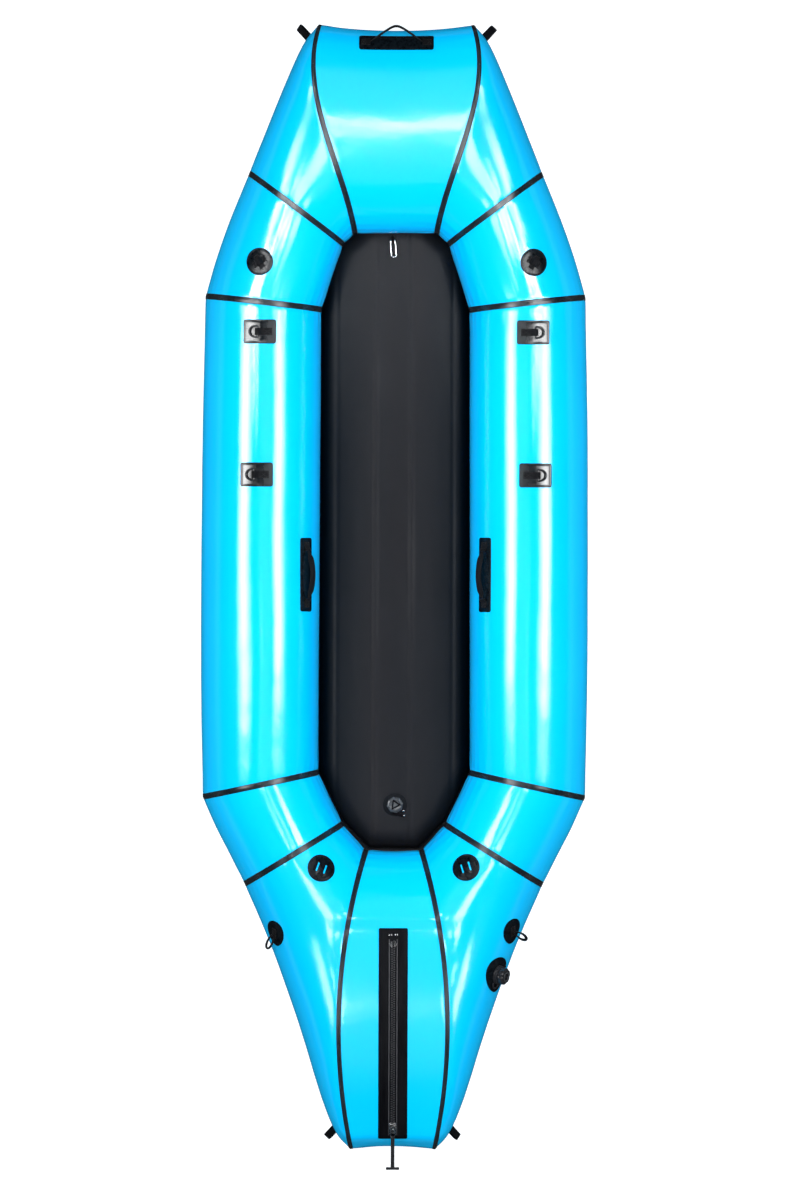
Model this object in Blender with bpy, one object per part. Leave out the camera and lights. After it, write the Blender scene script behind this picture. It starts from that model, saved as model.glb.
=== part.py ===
"""Packraft: an inflatable one-chamber boat with a long, upswept stern.

The air tube is a ring of mitred panels round the cockpit, joined by seam tapes. A bottom sheet
closes the cockpit below, and an inflatable mat lies on it. Webbing, rings, valves and the cargo
zip sit on the tube. Metres, +Z up, +Y towards the bow, +X to starboard.
"""

import math

import bmesh
import bpy
from mathutils import Matrix, Vector
from mathutils.bvhtree import BVHTree

for old in list(bpy.data.objects):
    bpy.data.objects.remove(old, do_unlink=True)

# ---------------------------------------------------------------- driving dimensions
TUBE_R = 0.146  # half the height of the inflated tube
WALL = 0.002  # tube wall as built here
SHEET_T = 0.003  # bottom sheet
BASE_GAP = 0.0035  # bottom sheet to tube, where the seam tapes run
AXIS_Z = SHEET_T + BASE_GAP + TUBE_R
SEAM_GAP = 0.0002  # each panel ends this far from its seam
TAPE_HALF = 0.0075
TAPE_OFF, TAPE_T = 0.0010, 0.0012
PATCH_OFF, PATCH_T = 0.0014, 0.0016
N_THETA = 24

BOW_RISE, BOW_FROM, BOW_TO = 0.150, 0.700, 1.4325
STERN_RISE, STERN_FROM, STERN_TO = 0.150, -0.450, -1.3775
Y_SHIFT = -0.0038  # centres the whole boat on the origin

MAT_TOP = 0.070  # top of the inflatable mat
ARC_Y, ARC_Z, ARC_R = -1.168, -1.107, 1.462  # the zip's line on the stern is an arc round this point
BLUE = (0.0, 0.50, 0.86)
BLACK = (0.012, 0.013, 0.016)

# Cockpit corner and outline of the starboard half, bow to stern. A panel lies between two seams.
SEAM = {
    "C": (0.103, 0.9150),
    "B": (0.133, 0.8875),
    "A": (0.186, 0.7225),
    "D": (0.190, -0.4375),
    "E": (0.129, -0.5675),
    "F": (0.070, -0.6325),
}
BULGE = {"C": 0.038, "B": 0.0, "A": 0.0, "D": 0.0, "E": 0.0, "F": 0.048}
OUTLINE = {
    "CB": [(0.194, 1.4325), (0.232, 1.385), (0.274, 1.295), (0.335, 1.145), (0.3675, 1.0625)],
    "BA": [(0.3675, 1.0625), (0.416, 0.945), (0.451, 0.845), (0.476, 0.755)],
    "AD": [(0.476, 0.755), (0.483, 0.395), (0.485, -0.150), (0.479, -0.500)],
    "DE": [(0.479, -0.500), (0.446, -0.575), (0.410, -0.645), (0.373, -0.7175)],
    "EF": [(0.373, -0.7175), (0.302, -0.885), (0.237, -1.065), (0.180, -1.245), (0.1425, -1.335), (0.106, -1.3775)],
}


def rise(y):
    """How far the boat's bottom is swept up at this station."""
    if y > BOW_FROM:
        return BOW_RISE * ((y - BOW_FROM) / (BOW_TO - BOW_FROM)) ** 2
    if y < STERN_FROM:
        return STERN_RISE * ((STERN_FROM - y) / (STERN_FROM - STERN_TO)) ** 2
    return 0.0


def spline(points, t):
    """A smooth curve through a few points, t from 0 to 1."""
    n = len(points) - 1
    s = min(max(t, 0.0), 1.0) * n
    i = min(int(s), n - 1)
    f = s - i
    p1, p2 = Vector(points[i]), Vector(points[i + 1])
    p0 = Vector(points[i - 1]) if i > 0 else 2 * p1 - p2
    p3 = Vector(points[i + 2]) if i + 2 <= n else 2 * p2 - p1
    return 0.5 * (
        2 * p1 + (p2 - p0) * f + (2 * p0 - 5 * p1 + 4 * p2 - p3) * f * f + (3 * p1 - p0 - 3 * p2 + p3) * f**3
    )


def spoke(panel, t, side=1):
    """Cockpit point, outline point and sideways bulge of the cross-section at t."""
    if panel == "CC":
        k = 1 - 2 * t
        return Vector((0.103 * k, 0.915)), Vector((0.194 * k, 1.4175 + 0.015 * k * k)), 0.038 * k, "bow"
    if panel == "FF":
        k = 1 - 2 * t
        return (
            Vector((0.070 * k, -0.635 + 0.0025 * k * k)),
            Vector((0.106 * k, -1.370 - 0.0075 * k * k)),
            0.048 * k,
            "stern",
        )
    a, b = panel
    inner = Vector(SEAM[a]).lerp(Vector(SEAM[b]), t)
    outer = spline(OUTLINE[panel], t)
    bulge = BULGE[a] * (1 - t) + BULGE[b] * t
    inner.x *= side
    outer.x *= side
    return inner, outer, bulge * side, "bow" if a in "CBA" and b != "D" else "stern"


def wall_point(panel, t, theta, w=0.0, side=1):
    """A point on the tube: theta 0 at the cockpit, 90 on top, 180 at the outline, 270 below. w is inward."""
    inner, outer, bulge, end = spoke(panel, t, side)
    length = (outer - inner).length
    a1 = min(length / 2, TUBE_R + 0.12 * max(length - 2 * TUBE_R, 0))
    a2 = length - a1
    c, s = math.cos(theta), math.sin(theta)
    d = a1 - (a1 - w) * c if c > 0 else a1 - (a2 - w) * c
    u = d / length
    lean = 6.75 * u * u * (1 - u) if end == "bow" else 4 * u * (1 - u)
    p = inner.lerp(outer, u)
    x, y = p.x + bulge * lean, p.y
    z = AXIS_Z + rise(y) + (TUBE_R - w) * s
    if panel in ("EF", "FF") and s > 0:
        z += trim(y) * step(s / 0.3) * (1.0 if panel == "FF" else t * t)
    return Vector((x, y + Y_SHIFT, z))


def step(x):
    x = min(max(x, 0.0), 1.0)
    return x * x * (3 - 2 * x)


def trim(y):
    """What brings the stern's top line onto the zip's arc."""
    length = 0.735
    a1 = TUBE_R + 0.12 * (length - 2 * TUBE_R)
    x = (-(y + 0.635) - a1) / (length - a1)
    top = AXIS_Z + rise(y) + TUBE_R * math.sqrt(max(1 - max(x, 0.0) ** 2, 0.0))
    arc = ARC_Z + math.sqrt(ARC_R**2 - (y - ARC_Y) ** 2)
    return (arc - top) * step((-0.790 - y) / 0.06) * step((y + 1.372) / 0.034)


def loop_at(panel, t, w=0.0, side=1, count=N_THETA):
    return [wall_point(panel, t, 2 * math.pi * i / count, w, side) for i in range(count)]


# ---------------------------------------------------------------- meshes
def material(name, colour, rough, metal=0.0):
    m = bpy.data.materials.new(name + "_finish")
    m.use_nodes = True
    b = m.node_tree.nodes["Principled BSDF"]
    b.inputs["Base Color"].default_value = (*colour, 1)
    b.inputs["Roughness"].default_value = rough
    b.inputs["Metallic"].default_value = metal
    return m


def add(name, verts, faces, colour=BLACK, rough=0.5, metal=0.0, smooth=True):
    mesh = bpy.data.meshes.new(name)
    mesh.from_pydata([tuple(v) for v in verts], [], faces)
    bm = bmesh.new()
    bm.from_mesh(mesh)
    bmesh.ops.recalc_face_normals(bm, faces=bm.faces)
    if bm.calc_volume(signed=True) < 0:
        bmesh.ops.reverse_faces(bm, faces=bm.faces)
    bm.to_mesh(mesh)
    bm.free()
    if smooth:
        mesh.shade_smooth()
        mesh.set_sharp_from_angle(angle=math.radians(40))
    ob = bpy.data.objects.new(name, mesh)
    bpy.context.scene.collection.objects.link(ob)
    mesh.materials.append(material(name, colour, rough, metal))
    return ob


def guide(name, verts, faces):
    ob = add(name, verts, faces, smooth=False)
    ob.hide_render = True
    ob.display_type = "WIRE"
    return ob


def combine(ob, tool, operation):
    mod = ob.modifiers.new(operation.lower(), "BOOLEAN")
    mod.operation = operation
    mod.object = tool
    return mod


def stitch(loops, wrap):
    """Triangles between closed loops of equal count; wrap joins the last loop to the first."""
    n, faces = len(loops[0]), []
    rows = len(loops) if wrap else len(loops) - 1
    for r in range(rows):
        a, b = r * n, ((r + 1) % len(loops)) * n
        for i in range(n):
            j = (i + 1) % n
            faces += [(a + i, a + j, b + j), (a + i, b + j, b + i)]
    return faces


def ring_shell(loops):
    return [p for lp in loops for p in lp], stitch(loops, True)


def sweep(loops):
    """Closed ends on a run of loops."""
    verts = [p for lp in loops for p in lp]
    n = len(loops[0])
    return verts, stitch(loops, False) + [tuple(range(n)), tuple(range(len(verts) - n, len(verts)))]


def toward(q0, q1, dist):
    step = q1 - q0
    return q0 + step * (dist / max(step.length, 1e-9))


# ---------------------------------------------------------------- tube panels
PANELS = [
    ("bow_centre_panel", "CC", 6, 1),
    ("bow_shoulder_right", "CB", 5, 1),
    ("bow_shoulder_left", "CB", 5, -1),
    ("bow_corner_right", "BA", 3, 1),
    ("bow_corner_left", "BA", 3, -1),
    ("side_tube_right", "AD", 3, 1),
    ("side_tube_left", "AD", 3, -1),
    ("stern_corner_right", "DE", 2, 1),
    ("stern_corner_left", "DE", 2, -1),
    ("stern_quarter_right", "EF", 7, 1),
    ("stern_quarter_left", "EF", 7, -1),
    ("stern_centre_panel", "FF", 4, 1),
]
hull_v, hull_f = [], []
for name, panel, spans, side in PANELS:
    shells = []
    for w in (0.0, WALL):
        loops = [loop_at(panel, k / spans, w, side) for k in range(spans + 1)]
        first = [toward(a, b, SEAM_GAP) for a, b in zip(loops[0], loops[1])]
        last = [toward(a, b, SEAM_GAP) for a, b in zip(loops[-1], loops[-2])]
        if w == 0.0:
            base = len(hull_v)
            hull_v += [p for lp in loops for p in lp]
            hull_f += [tuple(base + i for i in f) for f in stitch(loops, False)]
        shells.append([first] + loops[1:-1] + [last])
    verts, faces = ring_shell(shells[0] + shells[1][::-1])
    add(name, verts, faces, BLUE, 0.28)

hull = BVHTree.FromPolygons(hull_v, hull_f)
fine_v, fine_f = [], []
for _, panel, spans, side in PANELS:
    loops = [loop_at(panel, k / (spans * 4), 0.0, side, 96) for k in range(spans * 4 + 1)]
    base = len(fine_v)
    tris = [tuple(base + i for i in f) for f in stitch(loops, False)]
    fine_v += [p for lp in loops for p in lp]
    fine_f += tris
fine = BVHTree.FromPolygons(fine_v, fine_f)

# ---------------------------------------------------------------- seam tapes
TAPES = [
    ("bow_seam_tape", ("CC", 0.0, 1 / 6), ("CB", 0.0, 1 / 5)),
    ("bow_diagonal_tape", ("CB", 1.0, 4 / 5), ("BA", 0.0, 1 / 3)),
    ("bow_cross_tape", ("BA", 1.0, 2 / 3), ("AD", 0.0, 1 / 3)),
    ("stern_cross_tape", ("AD", 1.0, 2 / 3), ("DE", 0.0, 1 / 2)),
    ("stern_diagonal_tape", ("DE", 1.0, 1 / 2), ("EF", 0.0, 1 / 7)),
    ("stern_seam_tape", ("EF", 1.0, 6 / 7), ("FF", 0.0, 1 / 4)),
]
for name, (p1, t1, n1), (p2, t2, n2) in TAPES:
    for side, word in ((1, "right"), (-1, "left")):
        bands = []
        for off in (-TAPE_OFF, -TAPE_OFF - TAPE_T):
            seam = loop_at(p1, t1, off, 1)
            before = [toward(a, b, TAPE_HALF) for a, b in zip(seam, loop_at(p1, n1, off, 1))]
            after = [toward(a, b, TAPE_HALF) for a, b in zip(loop_at(p2, t2, off, 1), loop_at(p2, n2, off, 1))]
            bands.append([before, seam, after])
        loops = bands[0] + bands[1][::-1]
        loops = [[Vector((p.x * side, p.y, p.z)) for p in lp] for lp in loops]
        verts, faces = ring_shell(loops)
        add(f"{name}_{word}", verts, faces, BLACK, 0.45)


# ---------------------------------------------------------------- local frames on the tube
def frame_on(x, y, along=(0, 1, 0), height=1.0):
    """A frame on the tube seen from above at x, y: columns u (outboard), v (along), n (outward)."""
    y += Y_SHIFT
    p, _, _, _ = hull.ray_cast(Vector((x, y, height)), Vector((0, 0, -1)))
    acc = Vector()
    for dx, dy in ((0, 0), (0.012, 0), (-0.012, 0), (0, 0.012), (0, -0.012)):
        _, n, _, _ = fine.ray_cast(Vector((x + dx, y + dy, height)), Vector((0, 0, -1)))
        if n:
            acc += n if n.z > 0 else -n
    return frame_from(p, acc, along)


def frame_from(p, normal, along):
    n = normal.normalized()
    v = Vector(along)
    v = (v - n * v.dot(n)).normalized()
    u = v.cross(n)
    m = Matrix((u, v, n)).transposed().to_4x4()
    m.translation = p
    return m


def on_hull(m, a, b, off):
    n = m.col[2].xyz
    o = m @ Vector((a, b, 0.06))
    p, _, _, _ = hull.ray_cast(o, -n)
    if p is None:
        p = m @ Vector((a, b, 0))
    return p + n * off


def rect_patch(m, hu, hv, nu, nv, off=PATCH_OFF, thick=PATCH_T):
    """A sheet that follows the tube: half sizes hu and hv along u and v."""
    grid = [
        [(-hu + 2 * hu * i / nu, -hv + 2 * hv * j / nv) for i in range(nu + 1)]
        for j in range(nv + 1)
    ]
    lo = [on_hull(m, a, b, off) for row in grid for a, b in row]
    hi = [on_hull(m, a, b, off + thick) for row in grid for a, b in row]
    faces, w = [], nu + 1
    for j in range(nv):
        for i in range(nu):
            k = j * w + i
            for base, flip in ((0, True), (len(lo), False)):
                q = (base + k, base + k + 1, base + k + w + 1, base + k + w)
                tri = [(q[0], q[1], q[2]), (q[0], q[2], q[3])]
                faces += [t[::-1] for t in tri] if flip else tri
    edge = (
        [i for i in range(w)]
        + [j * w + nu for j in range(1, nv + 1)]
        + [nv * w + i for i in range(nu - 1, -1, -1)]
        + [j * w for j in range(nv - 1, 0, -1)]
    )
    for i, a in enumerate(edge):
        b = edge[(i + 1) % len(edge)]
        faces += [(a, b, b + len(lo)), (a, b + len(lo), a + len(lo))]
    return lo + hi, faces


def disc_patch(m, radius, rings=2, segs=16, off=PATCH_OFF, thick=PATCH_T):
    verts = [on_hull(m, 0, 0, off), on_hull(m, 0, 0, off + thick)]
    for r in range(1, rings + 1):
        for level in (off, off + thick):
            for s in range(segs):
                a = 2 * math.pi * s / segs
                verts.append(on_hull(m, radius * r / rings * math.cos(a), radius * r / rings * math.sin(a), level))

    def at(r, level, s):
        return 2 + ((r - 1) * 2 + level) * segs + s % segs

    faces = []
    for s in range(segs):
        faces += [(0, at(1, 0, s + 1), at(1, 0, s)), (1, at(1, 1, s), at(1, 1, s + 1))]
        for r in range(1, rings):
            for level in (0, 1):
                a, b, c, d = at(r, level, s), at(r + 1, level, s), at(r + 1, level, s + 1), at(r, level, s + 1)
                tri = [(a, b, c), (a, c, d)]
                faces += tri if level else [t[::-1] for t in tri]
        a, b = at(rings, 0, s), at(rings, 0, s + 1)
        faces += [(a, b, b + segs), (a, b + segs, a + segs)]
    return verts, faces


def prism(m, profile, v0, v1, plane="un"):
    """A closed profile in the u, n plane drawn along v."""
    loops = [[m @ Vector((a, v, b)) for a, b in profile] for v in (v0, v1)]
    return sweep(loops)


def band(path, thick):
    """A closed outline round a bent strip, from its middle line."""
    left, right = [], []
    for i, p in enumerate(path):
        a = Vector(path[max(i - 1, 0)])
        b = Vector(path[min(i + 1, len(path) - 1)])
        d = (b - a).normalized()
        nrm = Vector((-d.y, d.x)) * thick / 2
        left.append(tuple(Vector(p) + nrm))
        right.append(tuple(Vector(p) - nrm))
    return left + right[::-1]


def arch(half_gap, height, foot, base, steps=5):
    """Middle line of a webbing loop that stands on two feet."""
    path = [(-half_gap - foot, base), (-half_gap - 0.0012, base + 0.0004)]
    for i in range(steps + 1):
        a = math.pi - math.pi * i / steps
        path.append((half_gap * math.cos(a), base + (height - half_gap) + half_gap * math.sin(a)))
    return path + [(half_gap + 0.0012, base + 0.0004), (half_gap + foot, base)]


def lathe(m, profile, segs=16):
    """A turned piece about n: the profile starts and ends on the axis."""
    verts = [m @ Vector((0, 0, profile[0][1]))]
    rows = profile[1:-1]
    for r, h in rows:
        verts += [m @ Vector((r * math.cos(2 * math.pi * s / segs), r * math.sin(2 * math.pi * s / segs), h)) for s in range(segs)]
    verts.append(m @ Vector((0, 0, profile[-1][1])))
    last, faces = len(verts) - 1, []
    for s in range(segs):
        t = (s + 1) % segs
        faces.append((0, 1 + t, 1 + s))
        for r in range(len(rows) - 1):
            a, b = 1 + r * segs, 1 + (r + 1) * segs
            faces += [(a + s, a + t, b + t), (a + s, b + t, b + s)]
        a = 1 + (len(rows) - 1) * segs
        faces.append((a + s, a + t, last))
    return verts, faces


def wire_loop(m, path, radius, sides=8):
    """A round wire bent into a closed loop; path holds u, v, n."""
    loops, n = [], len(path)
    for i in range(n):
        p = Vector(path[i])
        d = (Vector(path[(i + 1) % n]) - Vector(path[i - 1])).normalized()
        e = d.cross(Vector((0, 0, 1))).normalized()
        loops.append([
            m @ (p + radius * (e * math.cos(2 * math.pi * k / sides) + Vector((0, 0, 1)) * math.sin(2 * math.pi * k / sides)))
            for k in range(sides)
        ])
    return ring_shell(loops)


def d_path(half, depth, h, arc=10):
    """A D: straight bar on v, bow towards +u."""
    pts = [(0, -half, h), (0, 0, h), (0, half, h)]
    for i in range(1, arc):
        a = math.pi / 2 - math.pi * i / arc
        pts.append((depth * math.cos(a) ** 0.8, half * math.sin(a), h))
    return pts


# ---------------------------------------------------------------- lashing rings on the side tubes
TOP = PATCH_OFF + PATCH_T
RING_WIRE = 0.0025
RING_H = TOP + 0.0007 + RING_WIRE + 0.0006
for name, x, y in (
    ("front_left", -0.3390, 0.665),
    ("front_right", 0.3450, 0.665),
    ("mid_left", -0.3460, 0.3075),
    ("mid_right", 0.3515, 0.3075),
):
    side = 1 if x > 0 else -1
    m = frame_on(x, y, (0, side, 0))
    plate = add(f"ring_patch_{name}", *rect_patch(m, 0.0405, 0.0298, 5, 4), BLACK, 0.5)
    h = RING_H
    keeper = [
        (-0.030, TOP - 0.0016), (-0.030, TOP + 0.0018), (-0.0015, TOP + 0.0020), (0.0015, h + 0.0020), (0.0042, h + 0.0046),
        (0.0078, h + 0.0046), (0.0106, h + 0.0022), (0.0116, TOP - 0.0010), (0.0100, TOP - 0.0010), (0.0092, h + 0.0014),
        (0.0072, h + 0.0033), (0.0048, h + 0.0033), (0.0028, h + 0.0014), (0.0020, TOP - 0.0010),
    ]
    strap = guide(f"ring_strap_guide_{name}", *prism(m, keeper, -0.009, 0.009))
    combine(plate, strap, "UNION")
    mr = m @ Matrix.Translation(Vector((0.006, 0, 0)))
    add(f"lash_ring_{name}", *wire_loop(mr, d_path(0.0140, 0.0200, h), RING_WIRE), (0.02, 0.02, 0.022), 0.35)

# ---------------------------------------------------------------- round lash patches
# At the bow a low bridge of webbing lies askew across each disc.
for side, word, x in ((1, "right", 0.3455), (-1, "left", 0.3405)):
    m = frame_on(x * side, 0.840, (0.55 * side, 0.84, 0))
    disc = add(f"bow_lash_patch_{word}", *disc_patch(m, 0.0342, 3, 16), BLACK, 0.5)
    tool = guide(f"bow_lash_guide_{word}", *prism(m, band(arch(0.0085, 0.0150, 0.009, TOP), 0.0018), -0.009, 0.009))
    combine(disc, tool, "UNION")

# At the stern a tall loop stands on each disc, turned on edge. It leans aft, on the left so far that it lies down.
LOOP = [(-0.0014, -0.0006), (-0.0040, 0.0080), (-0.0064, 0.0190), (-0.0066, 0.0280), (-0.0050, 0.0350), (-0.0022, 0.0395)]
LOOP += [(-a, b) for a, b in LOOP[::-1]]
for side, word, x, y, lean, turn in ((1, "right", 0.2975, -0.8325, 13, 37), (-1, "left", 0.2965, -0.8400, 62, 43)):
    m = frame_on(x * side, y, (1, 0, 0))
    disc = add(f"stern_lash_patch_{word}", *disc_patch(m, 0.0325, 3, 16), BLACK, 0.5)
    pad = guide(f"stern_pad_guide_{word}", *prism(m, [(-0.012, TOP - 0.0012), (0.012, TOP - 0.0012), (0.012, TOP + 0.0008), (0.010, TOP + 0.0018), (-0.010, TOP + 0.0018), (-0.012, TOP + 0.0008)], -0.009, 0.009))
    combine(disc, pad, "UNION")
    ml = m @ Matrix.Translation(Vector((0, 0, TOP + 0.0018))) @ Matrix.Rotation(math.radians(lean), 4, "Y")
    ml = ml @ Matrix.Rotation(math.radians(-side * turn), 4, "Z")
    tool = guide(f"stern_loop_guide_{word}", *prism(ml, band(LOOP, 0.0018), -0.0045, 0.0045))
    combine(disc, tool, "UNION")

# Slotted patches for a backrest strap, behind the cockpit.
for side, word, x, y in ((1, "right", 0.1810, -0.6730), (-1, "left", 0.1808, -0.6760)):
    m = frame_on(x * side, y, (-0.38 * side, 1, 0))
    disc = add(f"slot_patch_{word}", *disc_patch(m, 0.0345, 3, 16), BLACK, 0.5)
    for k, du in enumerate((-0.0100, 0.0100)):
        prof = [(du - 0.0022, -0.01), (du + 0.0022, -0.01), (du + 0.0022, 0.01), (du - 0.0022, 0.01)]
        slot = guide(f"slot_guide_{word}_{k}", *prism(m, prof, -0.0115, 0.0115))
        combine(disc, slot, "DIFFERENCE")


# ---------------------------------------------------------------- carrying handles
def handle_set(name, m, hu, hv, span, high, nu, nv, peak, lean):
    """A patch with two sewn ends, and the webbing grip that swings on them, hanging over by its lean."""
    plate = add(f"{name}_patch", *rect_patch(m, hu, hv, nu, nv), BLACK, 0.5)
    for k in (-1, 1):
        v0, v1 = sorted((k * (span + 0.0012), k * (span + 0.0250)))
        seat = TOP + max((on_hull(m, a, v, 0) - m.translation).dot(m.col[2].xyz) for a in (-0.009, 0, 0.009) for v in (v0, v1))
        lug = [(-0.009, seat - 0.0014), (0.009, seat - 0.0014), (0.009, seat + 0.0022), (0.0045, TOP + 0.0070), (-0.0045, TOP + 0.0070), (-0.009, seat + 0.0022)]
        tool = guide(f"{name}_lug_guide_{k + 1}", *prism(m, lug, v0, v1))
        combine(plate, tool, "UNION")
    pivot = m @ Matrix.Translation(Vector((0, 0, TOP + 0.0058))) @ Matrix.Rotation(math.radians(-lean), 4, "Y")
    m = pivot @ Matrix.Translation(Vector((0, 0, -TOP - 0.0058)))
    loops, steps = [], 12
    reach = math.hypot(1, peak) - peak
    for i in range(steps + 1):
        q = -1 + 2 * i / steps
        lift = (math.hypot(1, peak) - math.hypot(q, peak)) / reach
        half_w = 0.0032 + 0.0056 * min(1.0, 2.2 * lift)
        c = Vector((0, span * q, TOP + 0.0058 + high * lift))
        slope = Vector((0, 1, -high * q / math.hypot(q, peak) / reach / span)).normalized()
        nn = Vector((1, 0, 0)).cross(slope)
        t = 0.0011
        loops.append([
            m @ (c + Vector((-half_w, 0, 0)) - nn * t),
            m @ (c + Vector((half_w, 0, 0)) - nn * t),
            m @ (c + Vector((half_w, 0, 0)) + nn * t),
            m @ (c + Vector((-half_w, 0, 0)) + nn * t),
        ])
    add(f"{name}_grip", *sweep(loops), BLACK, 0.55)


handle_set("side_handle_left", frame_on(-0.2215, 0.0575), 0.0220, 0.0920, 0.058, 0.019, 3, 6, 0.9, 15.0)
handle_set("side_handle_right", frame_on(0.2255, 0.0585), 0.0220, 0.0930, 0.058, 0.019, 3, 6, 0.9, -15.0)
handle_set("bow_handle", frame_on(0.0, 1.3850, (1, 0, 0)), 0.0200, 0.0930, 0.064, 0.041, 8, 8, 0.22, 40.0)

# ---------------------------------------------------------------- end loops of webbing
for name, panel, t, theta, along in (
    ("bow_loop", "CB", 0.10, 200, (0, 0, 1)),
    ("stern_loop", "EF", 0.86, 200, (0, 0, 1)),
):
    for side, word in ((1, "right"), (-1, "left")):
        th = math.radians(theta)
        p = wall_point(panel, t, th, 0.0, side)
        e1 = wall_point(panel, t + 0.01, th, 0.0, side) - p
        e2 = wall_point(panel, t, th + 0.02, 0.0, side) - p
        n = e1.cross(e2).normalized()
        if n.x * side < 0:
            n = -n
        m = frame_from(p, n, e1)
        path = arch(0.0065, 0.046, 0.010, 0.0030)
        add(f"{name}_{word}", *prism(m, band(path, 0.0020), -0.009, 0.009), BLACK, 0.6)

# ---------------------------------------------------------------- main inflation valve
m = frame_on(0.2608, -0.9410, (0, 1, 0))
valve = add("main_valve_base", *disc_patch(m, 0.0445, 4, 20), BLACK, 0.45)
tool = guide("main_valve_guide", *lathe(m, [(0, TOP - 0.0012), (0.0215, TOP - 0.0012), (0.0215, TOP + 0.0065), (0.0190, TOP + 0.0085), (0, TOP + 0.0085)], 20))
combine(valve, tool, "UNION")
cap_h = TOP + 0.0085 + 0.0006
add("main_valve_cap", *lathe(m, [(0, cap_h), (0.0198, cap_h), (0.0214, cap_h + 0.0015), (0.0214, cap_h + 0.0120), (0.0184, cap_h + 0.0150), (0, cap_h + 0.0150)], 12), BLACK, 0.4)
MAIN_VALVE = m

# ---------------------------------------------------------------- floor: bottom sheet, mat, its valve and ring
rows = []
for panel, ts in (("CB", (0.0, 0.5, 1.0)), ("BA", (0.5, 1.0)), ("AD", (1.0,)), ("DE", (0.5, 1.0)), ("EF", (0.3, 0.65, 1.0))):
    for t in ts:
        p = wall_point(panel, t, math.radians(258), 0.0, 1)
        rows.append((p.x, p.y - Y_SHIFT))
rows += [(0.4, BOW_FROM), (0.4, STERN_FROM)]
rows = sorted(rows, key=lambda r: -r[1])
edge_at = [r for r in rows if r[1] not in (BOW_FROM, STERN_FROM)]
full = []
for x, y in rows:
    if (x, y) not in edge_at:
        for (xa, ya), (xb, yb) in zip(edge_at, edge_at[1:]):
            if yb <= y <= ya:
                x = xa + (xb - xa) * (ya - y) / (ya - yb)
    full.append((x, y))
verts, faces = [], []
for x, y in full:
    z = rise(y)
    verts += [(-x, y + Y_SHIFT, z), (x, y + Y_SHIFT, z), (x, y + Y_SHIFT, z + SHEET_T), (-x, y + Y_SHIFT, z + SHEET_T)]
for r in range(len(full) - 1):
    a, b = 4 * r, 4 * (r + 1)
    for i in range(4):
        j = (i + 1) % 4
        faces.append((a + i, a + j, b + j, b + i))
faces += [(0, 1, 2, 3), tuple(len(verts) - 4 + i for i in range(4))]
add("bottom_sheet", verts, faces, BLACK, 0.6, smooth=False)

MAT = [
    (0.074, 0.9430), (0.142, 0.8900), (0.190, 0.7150), (0.193, -0.4300), (0.128, -0.5600), (0.062, -0.6280),
]
outline = MAT + [(-x, y) for x, y in MAT[::-1]]


def inset(points, by):
    out = []
    for i, p in enumerate(points):
        a, b = Vector(points[i - 1]), Vector(points[(i + 1) % len(points)])
        p = Vector(p)
        d1, d2 = (p - a).normalized(), (b - p).normalized()
        n1, n2 = Vector((d1.y, -d1.x)), Vector((d2.y, -d2.x))
        if n1.dot(-p) < 0:
            n1, n2 = -n1, -n2
        k = (n1 + n2).normalized()
        out.append(tuple(p + k * (by / max(k.dot(n1), 0.3))))
    return out


def mat_solid(walls, shrink=0.0):
    """The mat's outer skin, or with shrink the air inside it."""
    loops = []
    for by, z in walls:
        loops.append([Vector((x, y + Y_SHIFT, z + (rise(y) * 1.15 if z < 0.02 else 0.0))) for x, y in inset(outline, by + shrink)])
    return sweep(loops)


mat = add("floor_mat", *mat_solid(((0.016, 0.0045), (0.003, 0.014), (0.000, 0.034), (0.006, 0.052), (0.016, 0.062), (0.032, MAT_TOP))), BLACK, 0.55)
# The mat is a skin round air; its valve sits over the one opening in it.
air = guide("mat_air_guide", *mat_solid(((0.016, 0.0065), (0.003, 0.016), (0.000, 0.034), (0.006, 0.050), (0.016, 0.060), (0.032, MAT_TOP - 0.002)), 0.002))
combine(mat, air, "DIFFERENCE")
port = [(0.010 * math.cos(2 * math.pi * k / 8), 0.010 * math.sin(2 * math.pi * k / 8)) for k in range(8)]
port_guide = guide("mat_port_guide", *sweep([[Vector((0.003 + a, -0.520 + Y_SHIFT + b, z)) for a, b in port] for z in (MAT_TOP - 0.006, MAT_TOP + 0.004)]))
combine(mat, port_guide, "DIFFERENCE")


def mat_frame(x, y, along=(0, 1, 0)):
    return frame_from(Vector((x, y + Y_SHIFT, MAT_TOP)), Vector((0, 0, 1)), along)


m = mat_frame(0.003, -0.520)
m.translation.z = MAT_TOP + 0.0005
add("floor_valve_base", *lathe(m, [(0, 0.0), (0.0300, 0.0), (0.0300, 0.0012), (0.0190, 0.0022), (0.0190, 0.0070), (0, 0.0070)], 20), BLACK, 0.4)
m2 = m @ Matrix.Translation(Vector((0, 0, 0.0075)))
add("floor_valve_cap", *lathe(m2, [(0, 0.0), (0.0180, 0.0), (0.0200, 0.0015), (0.0200, 0.0050), (0.0120, 0.0075), (0.0095, 0.0120), (0, 0.0120)], 12), BLACK, 0.4)

# ---------------------------------------------------------------- cargo zip on the stern panel
m = frame_on(0.0, -1.0950, (0, 1, 0))
zip_lo, zip_hi = -1.3500, -0.8250


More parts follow.
